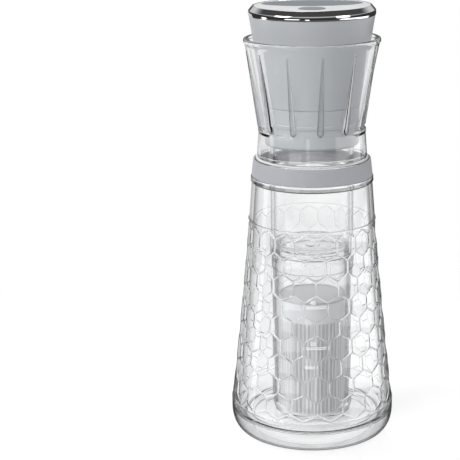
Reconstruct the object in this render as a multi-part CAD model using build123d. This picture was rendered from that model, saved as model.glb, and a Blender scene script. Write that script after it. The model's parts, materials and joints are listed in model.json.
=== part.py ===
from build123d import *
import os
from math import cos, radians, sin

# Rechargeable cold brew coffee maker, in millimetres.
# A clear faceted carafe carries a clear ribbed funnel. A grey pump head nests in the funnel,
# and a brew tube with a steel basket filter hangs from the head, down into the carafe.
# Origin at the centre of the foot, +Z up, -Y towards the user (the side of the power button).

# ---------------------------------------------------------------- clearances
lift_gap = 0.3          # radial, between pieces that lift out of or turn in each other
seat_gap = 0.1          # between the resting faces of pieces that come apart
press_gap = 0.05        # radial, between a shank and its hole, or a shaft and its bearing
overcut = 1.0           # how far a cut runs past the face that it opens

# ---------------------------------------------------------------- edges
fine_round = 0.3
soft_round = 0.4
edge_round = 0.5
throat_round = 0.6
rim_round = 0.8

# ---------------------------------------------------------------- carafe
foot_radius = 50.5
base_swell = 0.3        # how far the base stands proud of the foot of the facets
base_bulge = 15.0       # height of the widest part of the base
foot_recess = 1.5
foot_ring = 7.0         # width of the ring that the carafe stands on
floor_thickness = 12.0
floor_corner = 7.0      # height of the floor's round corner
floor_corner_width = 9.8
carafe_wall = 2.7
facet_bottom = 23.0
facet_top = 160.0
facet_bottom_radius = 58.9
shoulder_radius = 45.1
facet_bow = 0.5         # how far the faceted wall dips below a straight cone
facet_step = 0.35       # the plain walls stand this far proud of the facets
facet_count = 19
facet_rows = 9
facet_depth = 0.7
facet_margin = 1.3
facet_turn = 3.4        # degrees from the front to the first vertical ridge
carafe_height = 203.0
neck_radius = 42.9      # outside, just under the lip
lip_radius = 43.7
lip_height = 4.4
lip_chamfer = 0.8
lip_taper = 0.2
mouth_step = 2.2        # from the neck in to the mouth collar
band_height = 12.0
band_thickness = 2.4
band_taper = 1.4
band_drop = 0.6         # from the carafe's rim to the top of the band

# ---------------------------------------------------------------- funnel
spigot_depth = 11.0
spigot_wall = 2.4
spigot_ease = 2.2       # from the throat out to the inside of the spigot
gasket_thickness = 0.8
gasket_inset = 0.8
neck_height = 21.0      # from the carafe's rim to the throat
neck_base_radius = 40.2
neck_wall = 2.0
throat_length = 4.0
throat_gap = 0.8        # around the pump head
ledge_height = 3.0
ledge_round = 1.0
step_proud = 0.4        # how far the step ring below the ribs stands proud of the neck
funnel_height = 63.5    # from the throat to the rim
funnel_wall = 2.3
rim_radius = 47.9
rim_height = 3.4
rim_inset = 0.9         # the lip stands this far proud of the wall below it
rim_step = 1.0
rim_top_round = 1.2
rib_count = 12
rib_turn = 9.3          # degrees from the front to the first rib
rib_length = 52.0
rib_foot = 2.2
rib_tip = 0.7
rib_stand = 0.77        # how far the middle of a rib's foot stands off the wall
rib_sink = 0.2

# ---------------------------------------------------------------- pump head
tube_radius = 29.5
socket_wall = 3.0
head_drop = 10.8        # how far the head reaches below the throat
socket_depth = 7.8
socket_floor = 2.6
drum_round = 2.6
head_wall = 2.4
seam_height = 18.0      # from the throat to the seam between the two housings
seam_chamfer = 0.6
seam_ease = 0.2
seam_inset = 0.8
seam_radius = 33.9
cone_height = 61.3
cone_radius = 43.8
seal_height = 2.8
seal_depth = 1.3
boss_radius = 3.0
boss_web = 1.6
boss_angles = (60, 120, 240, 300)
screw_radius = 1.2
screw_head = 2.4
case_screw_length = 14.0
carrier_screw_length = 8.0
screw_head_height = 2.0
pilot_spare = 4.0
carrier_height = 38.4   # above the socket floor
carrier_thickness = 2.0

# ---------------------------------------------------------------- top of the head
trim_height = 6.7
trim_radius = 44.4
trim_band = 3.5         # height of the upright part of the chrome ring
trim_crown = 0.35       # how far the middle of that part bulges
trim_crown_round = 6.0
trim_top_radius = 41.3
trim_lip = 0.7
trim_spigot = 2.0
plate_thickness = 1.4
plate_sink = 0.3
ledge_width = 1.8
inlay_length = 35.3     # half axes of the oval inlay
inlay_width = 18.6
inlay_back = 12.1
inlay_thickness = 0.8
inlay_proud = 0.2
button_radius = 9.1
button_front = 22.0
button_thickness = 1.9
button_travel = 0.6
button_flange = 1.5
flange_thickness = 1.0
stem_radius = 2.2

# ---------------------------------------------------------------- electronics
board_radius = 36.0
board_thickness = 1.6
board_drop = 15.0       # from the underside of the top plate to the underside of the board
post_ring = 31.0
post_radius = 3.0
post_count = 4
board_screw_radius = 0.9
board_screw_head = 1.9
board_screw_length = 7.6
board_screw_head_height = 1.5
switch_size = 6.0
switch_height = 3.5
plunger_radius = 1.7
plunger_height = 0.5
port_width = 9.0
port_height = 3.2
port_depth = 7.4
port_shell = 0.4
port_inset = 0.8        # from the inside of the housing to the port's mouth
port_back = 1.0
port_ease = 0.4         # at the sides of the opening in the housing
tongue_width = 6.6
tongue_thickness = 0.7
tongue_inset = 1.0
cell_radius = 9.1
cell_headroom = 3.3     # between the cell and the board
cell_cap = 1.2          # height of the cell's raised contact
cell_x = 17.0
cradle_height = 11.4
cradle_wall = 1.3
cradle_floor = 1.3
wire_radius = 0.7
flap_width = 14.0
flap_height = 8.0
flap_thickness = 1.5
flap_hinge = 0.7        # radius of the rolled edge that the flap turns on

# ---------------------------------------------------------------- air pump
pump_x = -13.0
pump_radius = 13.4
pump_wall = 1.8
pump_height = 23.0
pump_mount_height = 3.4
pump_floor = 2.5
mount_width = 4.0
chamber_depth = 2.5
chamber_inset = 3.0
motor_radius = 12.0
motor_length = 28.0
motor_round = 1.0
bearing_length = 14.0
bearing_spare = 0.5
shaft_radius = 1.0
shaft_reach = 14.0
cam_radius = 5.0
cam_offset = 1.5
cam_height = 6.0
cam_lift = 1.0          # from the end of the shaft to the cam
diaphragm_height = 1.2
nozzle_radius = 2.6
nozzle_bore = 1.0
nozzle_y = -17.0
nozzle_height = 5.0     # above the socket floor
nozzle_reach = 2.5      # below the socket floor
nozzle_flange = 1.2
nozzle_flange_height = 1.5
nozzle_barb = 1.8
hose_radius = 1.7
hose_bend = 4.5
hose_lift = 1.5         # of the level run above the top of the bend
valve_radius = 5.0
valve_height = 14.0
valve_place = (2.0, 19.0)
valve_pin = 1.4
valve_pin_height = 4.0

# ---------------------------------------------------------------- brew tube and filter
tube_wall = 2.2
coupling_height = 133.7  # where the filter joins the tube
tube_seal_thickness = 1.2
lug_count = 3
lug_angle = 20.0
lug_height = 2.4
lug_reach = 1.1
lug_root = 0.5          # how deep a lug is rooted in its wall
lug_share = 0.4         # how far up the socket the middle of its lugs lies
filter_lug_lift = 1.8
lug_play = 1.5          # degrees each side of a lug
tube_turn = 40.0
filter_turn = 45.0
filter_clearance = 0.5  # between the filter and the carafe's floor
collar_height = 11.5
collar_radius = 29.5
cup_radius = 28.6
cup_foot_radius = 28.2
cup_corner = 1.6
cup_taper = 1.0
cup_bead = 0.7
bead_height = 7.0
bead_half = 2.5
bead_round = 1.2
bead_sweep = 1.5
cup_wall = 1.8
cup_floor = 2.0
cup_spigot_height = 6.4
cup_bore = 25.2
cup_inner_corner = 2.0
cup_shelf = 2.0         # from the joint down to the narrow bore
cup_shelf_slope = 3.0
collar_chamfer = 0.8
seal_inset = 0.3
seal_play = 0.1
lid_flange = 1.2
lid_thickness = 1.4
lid_sink = 2.0
lid_rib = 1.4
lid_ring = 14.5
lid_ring_height = 1.6
lid_boss = 5.0
lid_boss_height = 1.2
lid_hole = 1.5
lid_hole_count = 12
basket_radius = 24.9
mesh_radius = 24.6
mesh_thickness = 0.45
mesh_top = 86.0
basket_top = 100.4
basket_ring = 2.4
foot_ring_width = 3.0
slat_root = 0.5
slat_gap = 0.02
slat_count = 6
slat_width = 3.2
slat_depth = 1.1
basket_lid_height = 1.6
basket_lid_width = 2.0
basket_lid_inset = 0.2
lid_mesh_lift = 0.5
floor_mesh_drop = 1.4
mark_heights = (99.8, 69.0, 54.5)
mark_sweeps = (28.0, 28.0, 14.0)
mark_start = -13.0
mark_width = 0.7
mark_pitch = 1.4
mark_relief = 0.25
mark_gap = 0.01

# ---------------------------------------------------------------- derived places
base_radius = facet_bottom_radius + base_swell
ridge_pitch = (facet_top - facet_bottom - 2 * facet_margin) / (facet_rows - 1 + 4 / 3)
ridge_side = ridge_pitch / 1.5
first_row = facet_bottom + facet_margin + ridge_side
drum_radius = tube_radius + lift_gap + socket_wall
throat_radius = drum_radius + throat_gap
spigot_inner = throat_radius + spigot_ease
spigot_radius = spigot_inner + spigot_wall
mouth_bore = spigot_radius + lift_gap
mouth_radius = neck_radius - mouth_step
band_base = carafe_height - band_height - band_drop
band_radius = mouth_radius + band_thickness
shoulder_height = carafe_height + gasket_thickness
throat_height = shoulder_height + neck_height - gasket_thickness
rim_top = throat_height + funnel_height
head_base = throat_height - head_drop
socket_top = head_base + socket_depth
head_floor = socket_top + socket_floor
seam = throat_height + seam_height
cone_top = seam + cone_height
head_top = cone_top + trim_height
plate_top = head_top - plate_sink
plate_base = plate_top - plate_thickness
boss_ring = tube_radius - tube_wall - screw_head - 2 * lift_gap
tube_top = socket_top - tube_seal_thickness - seat_gap
tube_bore = tube_radius - tube_wall
cup_base = floor_thickness + filter_clearance
cup_spigot_radius = tube_bore - lift_gap
cup_rim = coupling_height + cup_spigot_height
lid_base = cup_rim - lid_sink - lid_thickness
board_base = plate_base - board_drop
board_top = board_base + board_thickness
pump_base = head_floor + pump_mount_height
motor_base = pump_base + pump_height
cell_base = head_floor + cradle_floor + seat_gap
cell_length = board_base - cell_headroom - cell_base
carrier_base = head_floor + carrier_height
flap_base = board_top + port_height / 2 - flap_height / 2
mesh_base = cup_base + cup_floor + seat_gap + basket_ring


# ---------------------------------------------------------------- shared forms
def turned(*corners):
    """Solid of revolution about Z from (radius, height) corners, each with an optional rounding."""
    outline = Plane.XZ * Polyline([corner[:2] for corner in corners], close=True)
    face = make_face(outline).face()
    for corner in corners:
        if len(corner) == 3:
            vertex = face.vertices().sort_by_distance((corner[0], 0, corner[1]))[0]
            face = face.fillet_2d(corner[2], [vertex])
    return revolve(face, Axis.Z)


def ring(outer, inner, low, high):
    """Plain ring about Z between two heights."""
    return turned((inner, low), (outer, low), (outer, high), (inner, high))


def rod(radius, low, high, place=(0, 0)):
    """Upright cylinder between two heights."""
    return Pos(place[0], place[1], (low + high) / 2) * Cylinder(radius, high - low)


def block(x, y, z):
    """Box from three (low, high) pairs."""
    size = [high - low for low, high in (x, y, z)]
    middle = [(low + high) / 2 for low, high in (x, y, z)]
    return Pos(*middle) * Box(*size)


def arc_piece(outer, inner, low, high, start, sweep):
    """Part of a ring; start in degrees from the front, counted towards +X."""
    face = make_face(Plane.XZ * Polyline((inner, low), (outer, low), (outer, high), (inner, high),
                                         close=True))
    return Rot(0, 0, start - 90) * revolve(face, Axis.Z, revolution_arc=sweep)


def around(radius, angle):
    """Point on a circle about Z; angle in degrees from +X."""
    return radius * cos(radians(angle)), radius * sin(radians(angle))


def lugs(outer, inner, low, height):
    """Bayonet lugs round a tube."""
    return [arc_piece(outer, inner, low, low + height, n * 360 / lug_count, lug_angle)
            for n in range(lug_count)]


def lug_slots(outer, inner, low, height, mouth, turn):
    """Room for the lugs: a way in from the mouth, and a sweep that they turn through."""
    slots = []
    for n in range(lug_count):
        start = n * 360 / lug_count - lug_play
        sweep = lug_angle + 2 * lug_play
        slots.append(arc_piece(outer, inner, low - lift_gap, low + height + lift_gap, start,
                               sweep + turn))
        slots.append(arc_piece(outer, inner, min(low, mouth), max(low, mouth), start + turn, sweep))
    return slots


def save(name, shape):
    """Write one node."""
    export_step(shape, f"parts/{name}.step")


# ---------------------------------------------------------------- carafe
def facet_radius(height):
    """Outside radius of the faceted wall's ridges."""
    rise = (height - facet_bottom) / (facet_top - facet_bottom)
    cone = facet_bottom_radius + (shoulder_radius - facet_bottom_radius) * rise
    return cone - 4 * facet_bow * rise * (1 - rise)


def facet_point(step, height, sink=0.0):
    """Point on the faceted wall; one step is half a facet round the carafe."""
    angle = radians(facet_turn + step * 180 / facet_count)
    radius = facet_radius(height) - sink
    return Vector(radius * sin(angle), -radius * cos(angle), height)


def facet(step, height):
    """Six triangles from a hexagon's outline down to its sunk middle."""
    half = ridge_side / 2
    outline = [(0, ridge_side), (1, half), (1, -half), (0, -ridge_side), (-1, -half), (-1, half)]
    corners = [facet_point(step + side, height + up) for side, up in outline]
    middle = facet_point(step, height, facet_depth)
    return [triangle(middle, corners[n - 1], corners[n]) for n in range(6)]


def triangle(*corners):
    """Flat face through three or more corners."""
    return Face(Wire.make_polygon(corners))


def facet_edge(row, edge, up):
    """Triangles between the zigzag of the first or last row and the plain ring beside it."""
    height = first_row + row * ridge_pitch
    faces = []
    for step in range(2 * facet_count):
        near, far = [facet_point(n, height + up * ridge_side * (1 if (n + row) % 2 else 0.5))
                     for n in (step, step + 1)]
        over, beyond = facet_point(step, edge), facet_point(step + 1, edge)
        faces += [triangle(near, far, beyond), triangle(near, beyond, over)]
    return faces


def faceted_wall():
    """The hexagon-faceted stretch of the carafe, as a closed solid."""
    faces = []
    for row in range(facet_rows):
        for n in range(facet_count):
            faces += facet(2 * n + (row + 1) % 2, first_row + row * ridge_pitch)
    faces += facet_edge(facet_rows - 1, facet_top, 1)
    faces += facet_edge(0, facet_bottom, -1)
    for edge in (facet_bottom, facet_top):
        faces.append(triangle(*[facet_point(n, edge) for n in range(2 * facet_count)]))
    return Solid(Shell(faces))


def base_profile(low_radius, bulge_radius, low, bulge):
    """Quarter ellipse from the flat of a base up to its widest part."""
    return Plane.XZ * EllipticalCenterArc((low_radius, bulge), bulge_radius - low_radius,
                                          bulge - low, start_angle=-90, arc_size=90)


def carafe_base():
    """Thick round base, with the ring that it stands on."""
    step_radius = facet_bottom_radius + facet_step
    curve = base_profile(foot_radius, base_radius, 0, base_bulge)
    sides = Plane.XZ * Polyline((base_radius, base_bulge), (step_radius, facet_bottom),
                                (0, facet_bottom), (0, 0), (foot_radius, 0))
    base = revolve(make_face(curve + sides), Axis.Z)
    return base - rod(foot_radius - foot_ring, 0, foot_recess)


def carafe_cavity():
    """Inside of the carafe, up to its mouth."""
    corner_top = floor_thickness + floor_corner
    corner_radius = base_radius - carafe_wall
    low_radius = corner_radius - floor_corner_width
    top = carafe_height + overcut
    curve = base_profile(low_radius, corner_radius, floor_thickness, corner_top)
    middle = (facet_bottom + facet_top) / 2
    sides = Plane.XZ * Polyline(
        (corner_radius, corner_top), (facet_bottom_radius - carafe_wall, facet_bottom),
        (facet_radius(middle) - carafe_wall, middle), (shoulder_radius - carafe_wall, facet_top),
        (neck_radius - carafe_wall, band_base - lip_height), (mouth_bore, band_base),
        (mouth_bore, top), (0, top), (0, floor_thickness), (low_radius, floor_thickness))
    return revolve(make_face(curve + sides), Axis.Z)


def carafe_neck():
    """Plain cone, lip and mouth collar above the facets."""
    lip_base = band_base - lip_height
    return turned((0, facet_top), (shoulder_radius + facet_step, facet_top), (neck_radius, lip_base),
                  (lip_radius, lip_base + lip_chamfer, edge_round),
                  (lip_radius - lip_taper, band_base, rim_round), (mouth_radius, band_base),
                  (mouth_radius, carafe_height, rim_round), (0, carafe_height))


def carafe_body():
    """Faceted wall, thick base, lip and collar, hollowed to the mouth."""
    return faceted_wall() + carafe_base() + carafe_neck() - carafe_cavity()


def neck_band():
    """Soft ring stretched round the mouth collar."""
    return turned((mouth_radius, band_base), (band_radius, band_base, soft_round),
                  (band_radius - band_taper, band_base + band_height, soft_round),
                  (mouth_radius, band_base + band_height))


# ---------------------------------------------------------------- funnel
def funnel_gasket():
    """Flat seal between the carafe's rim and the funnel's shoulder."""
    return ring(mouth_radius - gasket_inset, spigot_radius, carafe_height, shoulder_height)


def funnel_slope():
    """How fast the funnel widens, per millimetre of height."""
    low = throat_height + throat_length
    return (rim_radius - rim_inset - funnel_wall - throat_radius) / (rim_top - low)


def funnel_ribs():
    """Ribs that stand prouder towards their rounded feet."""
    slope = funnel_slope()
    wall_base = throat_radius + funnel_wall - slope * throat_length
    foot_height = throat_height + rib_foot
    foot = Vector(wall_base + slope * rib_foot + rib_stand, 0, foot_height)
    tip_radius = wall_base + slope * (rib_foot + rib_length) - rib_sink
    tip = Vector(tip_radius, 0, foot_height + rib_length)
    lean = Plane(origin=foot, z_dir=tip - foot)
    bar = lean * Cone(rib_foot, rib_tip, (tip - foot).length,
                      align=(Align.CENTER, Align.CENTER, Align.MIN))
    rib = bar + Pos(*foot) * Sphere(rib_foot)
    return [Rot(0, 0, rib_turn - 90 + n * 360 / rib_count) * rib for n in range(rib_count)]


def funnel_bore():
    """Inside of the spigot, neck, throat and funnel."""
    low = carafe_height - spigot_depth - overcut
    flare = throat_height + throat_length
    shoulder_top = shoulder_height + neck_wall
    top_radius = rim_radius - rim_inset - funnel_wall
    return turned((0, low), (spigot_inner, low), (spigot_inner, shoulder_top, soft_round),
                  (neck_base_radius - neck_wall, shoulder_top, ledge_round),
                  (spigot_inner, throat_height - ledge_height, ledge_round),
                  (throat_radius, throat_height, throat_round), (throat_radius, flare),
                  (top_radius, rim_top), (top_radius, rim_top + overcut), (0, rim_top + overcut))


def funnel_collar():
    """Spigot, neck, step ring, ribbed funnel and rim, in one piece."""
    spigot_base = carafe_height - spigot_depth
    wall_base = throat_radius + funnel_wall - funnel_slope() * throat_length
    neck_top = spigot_inner + neck_wall
    outside = turned(
        (0, spigot_base), (spigot_radius, spigot_base, rim_round),
        (spigot_radius, shoulder_height), (neck_base_radius, shoulder_height, rim_round),
        (neck_top, throat_height - ledge_height),
        (neck_top + step_proud, throat_height, throat_round),
        (wall_base, throat_height), (rim_radius - rim_inset, rim_top - rim_height),
        (rim_radius, rim_top - rim_height + rim_step, soft_round),
        (rim_radius, rim_top, rim_top_round), (0, rim_top))
    return outside + funnel_ribs() - funnel_bore()


# ---------------------------------------------------------------- pump head housings
def bosses(radius, low, high):
    """Rods on the circle of the case screws."""
    return [rod(radius, low, high, around(boss_ring, angle)) for angle in boss_angles]


def head_lower_housing():
    """Drum below the seam: socket for the tube underneath, floor, and pump room above."""
    seal_base = throat_height + throat_length
    inner = drum_radius - head_wall
    outside = turned((0, head_base), (drum_radius, head_base, drum_round),
                     (drum_radius, seal_base), (drum_radius - seal_depth, seal_base),
                     (drum_radius - seal_depth, seal_base + seal_height),
                     (drum_radius, seal_base + seal_height),
                     (seam_radius - seam_ease, seam - seam_chamfer),
                     (seam_radius - seam_inset, seam), (0, seam))
    socket = rod(tube_radius + lift_gap, head_base, socket_top)
    room = rod(inner, head_floor, seam)
    slots = lug_slots(tube_radius + lug_reach + lift_gap, tube_radius, lug_base(), lug_height,
                      head_base, tube_turn)
    spout = rod(nozzle_radius + press_gap, socket_top, head_floor, (0, nozzle_y))
    vent = rod(nozzle_bore, socket_top, head_floor, valve_place)
    screw_holes = bosses(screw_radius + press_gap, socket_top, head_floor)
    return outside - socket - room - slots - spout - vent - screw_holes


def lug_base():
    """Height of the lugs that hold the tube in the head."""
    return head_base + lug_share * socket_depth - lug_height / 2


def cone_outside(shrink=0.0):
    """Solid cone of the upper housing, or the room inside it."""
    return turned((0, seam), (seam_radius - shrink, seam), (cone_radius - shrink, cone_top),
                  (0, cone_top))


def head_housing():
    """Tapered upper housing with its screw bosses and the charging port's opening."""
    room = cone_outside(head_wall)
    posts = Part() + bosses(boss_radius, head_floor, carrier_base)
    for angle in boss_angles:
        web = block((boss_ring, seam_radius + overcut), (-boss_web / 2, boss_web / 2),
                    (seam, carrier_base))
        posts += Rot(0, 0, angle) * web
    posts &= cone_outside() + rod(drum_radius - head_wall - lift_gap, head_floor, seam)
    depth = case_screw_length + pilot_spare
    pilot = bosses(screw_radius + press_gap, head_floor, head_floor + depth)
    pilot += bosses(screw_radius + press_gap, carrier_base - depth / 2, carrier_base)
    half = port_width / 2 + port_ease
    opening = block((-half, half), (board_radius, cone_radius + overcut),
                    (board_top - lift_gap, board_top + port_height + lift_gap))
    return cone_outside() - room + posts - pilot - opening - flap_pocket()


def cone_skin(depth, x, z):
    """Piece of the upper housing's outer skin at the back, between two x and two z."""
    skin = cone_outside() - cone_outside(depth)
    return skin & block(x, (0, cone_radius), z)


def flap_pocket():
    """Shallow pocket that the port flap lies in."""
    half = flap_width / 2 + lift_gap
    return cone_skin(flap_thickness, (-half, half),
                     (flap_base - lift_gap, flap_base + flap_height + lift_gap))


def cone_at(height):
    """Outside radius of the upper housing."""
    return seam_radius + (cone_radius - seam_radius) * (height - seam) / cone_height


def head_seal():
    """Soft ring round the drum that seats in the funnel's throat."""
    low = throat_height + throat_length
    inner = drum_radius - seal_depth
    return turned((inner, low), (drum_radius + throat_gap - lift_gap, low, soft_round),
                  (drum_radius + throat_gap, low + seal_height, edge_round),
                  (inner, low + seal_height))


def tube_seal():
    """Flat seal at the top of the tube's socket."""
    return ring(tube_radius, tube_bore, socket_top - tube_seal_thickness, socket_top)


def screw(radius, head, head_height, length, base, place):
    """Round-headed screw driven upwards, its head under base."""
    return rod(radius, base, base + length, place) + rod(head, base - head_height, base, place)


def case_screws():
    """Screws through the socket floor into the upper housing's bosses."""
    return Compound(children=[
        screw(screw_radius, screw_head, screw_head_height, case_screw_length, socket_top,
              around(boss_ring, angle))
        for angle in boss_angles])


# ---------------------------------------------------------------- top of the head
def trim_ring():
    """Chrome ring round the top plate."""
    inner = trim_top_radius - trim_lip
    ledge = inner - ledge_width
    spigot = cone_at(cone_top - trim_spigot) - head_wall - lift_gap
    return turned((ledge, cone_top - trim_spigot), (spigot, cone_top - trim_spigot),
                  (spigot, cone_top), (trim_radius - trim_crown, cone_top),
                  (trim_radius, cone_top + trim_band / 2, trim_crown_round),
                  (trim_radius - trim_crown, cone_top + trim_band, rim_round),
                  (trim_top_radius, head_top, fine_round),
                  (inner, head_top), (inner, plate_base), (ledge, plate_base))


def inlay_oval(grow, low, high):
    """Oval of the top inlay, or of its recess."""
    oval = Pos(0, inlay_back, low) * Ellipse(inlay_length + grow, inlay_width + grow)
    return extrude(oval, high - low)


def posts(radius, low, high):
    """Rods on the circle of the board's screws."""
    return [rod(radius, low, high, around(post_ring, 45 + n * 360 / post_count))
            for n in range(post_count)]


def top_plate():
    """Plate inside the chrome ring, with posts that carry the board."""
    radius = trim_top_radius - trim_lip - press_gap
    plate = turned((0, plate_base), (radius, plate_base), (radius, plate_top, fine_round),
                   (0, plate_top))
    plate += posts(post_radius, board_top, plate_base)
    plate -= inlay_oval(press_gap, plate_top - inlay_thickness, plate_top)
    plate -= rod(button_radius + lift_gap, plate_base, plate_top, (0, -button_front))
    hole_top = board_base + board_screw_length + lift_gap
    return plate - posts(board_screw_radius + press_gap, board_top, hole_top)


def top_inlay():
    """Oval panel that stands a little proud of the plate."""
    inlay = inlay_oval(0, plate_top - inlay_thickness, plate_top + inlay_proud)
    return fillet(inlay.edges().group_by(Axis.Z)[-1], fine_round)


def power_button():
    """Cap that stands just over the plate, flange that keeps it in, and stem."""
    flange_top = plate_base - seat_gap
    cap_top = flange_top + button_thickness
    stem_base = board_top + switch_height + plunger_height + button_travel + seat_gap
    cap = turned((0, flange_top), (button_radius, flange_top), (button_radius, cap_top, edge_round),
                 (0, cap_top))
    cap += rod(button_radius + button_flange, flange_top - flange_thickness, flange_top)
    return Pos(0, -button_front, 0) * (cap + rod(stem_radius, stem_base, flange_top))


# ---------------------------------------------------------------- electronics
def circuit_board():
    """Round board with its screw holes."""
    board = rod(board_radius, board_base, board_top)
    return board - posts(board_screw_radius + press_gap, board_base, board_top)


def board_screws():
    """Screws up through the board into the top plate's posts."""
    return Compound(children=[
        screw(board_screw_radius, board_screw_head, board_screw_head_height, board_screw_length,
              board_base, around(post_ring, 45 + n * 360 / post_count)) for n in range(post_count)])


def tactile_switch():
    """Small switch under the button, with its plunger."""
    half = switch_size / 2
    body = block((-half, half), (-half - button_front, half - button_front),
                 (board_top, board_top + switch_height))
    top = board_top + switch_height
    return body + rod(plunger_radius, top, top + plunger_height, (0, -button_front))


def usb_port():
    """Metal shell of the charging port with its tongue."""
    outer = cone_at(board_top) - head_wall - port_inset
    low = board_top
    shell = block((-port_width / 2, port_width / 2), (outer - port_depth, outer),
                  (low, low + port_height))
    shell = fillet(shell.edges().filter_by(Axis.Y), port_height * 0.4)
    half = port_width / 2 - port_shell
    inside = block((-half, half), (outer - port_depth + port_back, outer),
                   (low + port_shell, low + port_height - port_shell))
    inside = fillet(inside.edges().filter_by(Axis.Y), port_height * 0.3)
    middle = low + port_height / 2
    tongue = block((-tongue_width / 2, tongue_width / 2),
                   (outer - port_depth + port_back, outer - tongue_inset),
                   (middle - tongue_thickness / 2, middle + tongue_thickness / 2))
    return shell - inside + tongue


def flap_axis():
    """Place (y, z) of the edge that the flap turns on."""
    height = flap_base + flap_hinge
    return cone_at(height) - flap_thickness + seat_gap + flap_hinge, height


def port_flap():
    """Soft flap over the charging port; it follows the cone and turns on its lower edge."""
    y, z = flap_axis()
    plate = cone_skin(flap_thickness - seat_gap, (-flap_width / 2, flap_width / 2),
                      (z, flap_base + flap_height))
    return plate + Pos(0, y, z) * Rot(0, 90, 0) * Cylinder(flap_hinge, flap_width)


def battery_cell():
    """Round lithium cell with its raised contact."""
    can_top = cell_base + cell_length - cell_cap
    cell = rod(cell_radius, cell_base, can_top, (cell_x, 0))
    cell = fillet(cell.edges().filter_by(GeomType.CIRCLE), rim_round)
    return cell + rod(cell_radius / 3, can_top - rim_round, cell_base + cell_length, (cell_x, 0))


def battery_cradle():
    """Cup that holds the lower end of the cell."""
    outer = rod(cell_radius + lift_gap + cradle_wall, head_floor, head_floor + cradle_height,
                (cell_x, 0))
    return outer - rod(cell_radius + lift_gap, cell_base - seat_gap, head_floor + cradle_height,
                       (cell_x, 0))


def wires():
    """Leads up to the board from the cell and the motor."""
    can_top = cell_base + cell_length - cell_cap
    ends = [(cell_x, side * cell_radius / 2, can_top) for side in (-1, 1)]
    ends += [(pump_x, side * motor_radius / 2, motor_base + motor_length) for side in (-1, 1)]
    return Compound(children=[rod(wire_radius, z, board_base, (x, y)) for x, y, z in ends])


# ---------------------------------------------------------------- air pump
def carrier_plate():
    """Plate across the housing that holds the motor and the cell upright."""
    top = carrier_base + carrier_thickness
    plate = rod(cone_at(carrier_base) - head_wall - lift_gap, carrier_base, top)
    plate -= rod(motor_radius + press_gap, carrier_base, top, (pump_x, 0))
    plate -= rod(cell_radius + press_gap, carrier_base, top, (cell_x, 0))
    return plate - bosses(screw_radius + press_gap, carrier_base, top)


def carrier_screws():
    """Screws down through the carrier plate into the bosses."""
    top = carrier_base + carrier_thickness
    return Compound(children=[
        rod(screw_radius, top - carrier_screw_length, top, around(boss_ring, angle))
        + rod(screw_head, top, top + screw_head_height, around(boss_ring, angle))
        for angle in boss_angles])


def pump_mount():
    """Soft ring that the pump stands on."""
    outer = rod(pump_radius, head_floor, pump_base, (pump_x, 0))
    return outer - rod(pump_radius - mount_width, head_floor, pump_base, (pump_x, 0))


def pump_housing():
    """Pump chamber below the motor, with the outlet that the hose pushes on to."""
    inner = pump_radius - pump_wall
    floor = pump_base + pump_floor
    body = rod(pump_radius, pump_base, motor_base, (pump_x, 0))
    body -= rod(inner, floor + chamber_depth, motor_base, (pump_x, 0))
    body -= rod(inner - chamber_inset, floor, floor + chamber_depth, (pump_x, 0))
    return body - outlet_path(nozzle_bore, inner - edge_round, pump_radius)


def outlet_angle():
    """Direction from the pump to the air nozzle."""
    return Vector(1, 0, 0).get_signed_angle(Vector(-pump_x, nozzle_y, 0), Vector(0, 0, 1))


def outlet_height():
    """Height of the pump's outlet, from which the hose bends down on to the nozzle."""
    return head_floor + nozzle_height + hose_bend + hose_lift


def outlet_path(radius, near, far):
    """Level rod from the pump's axis towards the nozzle, between two distances."""
    length = far - near
    bar = Pos(near + length / 2, 0, 0) * Rot(0, 90, 0) * Cylinder(radius, length)
    return Pos(pump_x, 0, outlet_height()) * Rot(0, 0, outlet_angle()) * bar


def pump_motor():
    """Motor can with the bearing that its shaft runs in."""
    top = motor_base + motor_length
    can = rod(motor_radius, motor_base, top, (pump_x, 0))
    can = fillet(can.edges().group_by(Axis.Z)[-1], motor_round)
    return can - rod(shaft_radius + press_gap, motor_base, motor_base + bearing_length,
                     (pump_x, 0))


def motor_shaft():
    """Shaft from inside the motor's bearing down into the pump chamber."""
    return rod(shaft_radius, motor_base - shaft_reach,
               motor_base + bearing_length - bearing_spare, (pump_x, 0))


def pump_cam():
    """Off-centre cam on the shaft that works the diaphragm."""
    low = motor_base - shaft_reach + cam_lift
    cam = rod(cam_radius, low, low + cam_height, (pump_x + cam_offset, 0))
    return cam - rod(shaft_radius, low, low + cam_height, (pump_x, 0))


def pump_diaphragm():
    """Soft disc clamped on the chamber's ledge."""
    low = pump_base + pump_floor + chamber_depth
    return rod(pump_radius - pump_wall - press_gap, low, low + diaphragm_height, (pump_x, 0))


def air_nozzle():
    """Barbed nozzle through the socket floor, from the hose into the brew tube."""
    low = socket_top - nozzle_reach
    flange_top = head_floor + nozzle_flange_height
    top = head_floor + nozzle_height
    stem = rod(nozzle_radius, low, head_floor, (0, nozzle_y))
    stem += rod(nozzle_radius + nozzle_flange, head_floor, flange_top, (0, nozzle_y))
    stem += rod(nozzle_barb, flange_top, top, (0, nozzle_y))
    return stem - rod(nozzle_bore, low, top, (0, nozzle_y))


def air_hose():
    """Soft hose from the pump's outlet, bent down on to the nozzle."""
    reach = (pump_x ** 2 + nozzle_y ** 2) ** 0.5
    path = FilletPolyline((pump_radius, 0, outlet_height()), (reach, 0, outlet_height()),
                          (reach, 0, head_floor + nozzle_height), radius=hose_bend)
    start = Plane(origin=path @ 0, z_dir=path % 0)
    hose = sweep(start * Circle(hose_radius) - start * Circle(nozzle_bore), path=path)
    return Pos(pump_x, 0, 0) * Rot(0, 0, outlet_angle()) * hose


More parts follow.
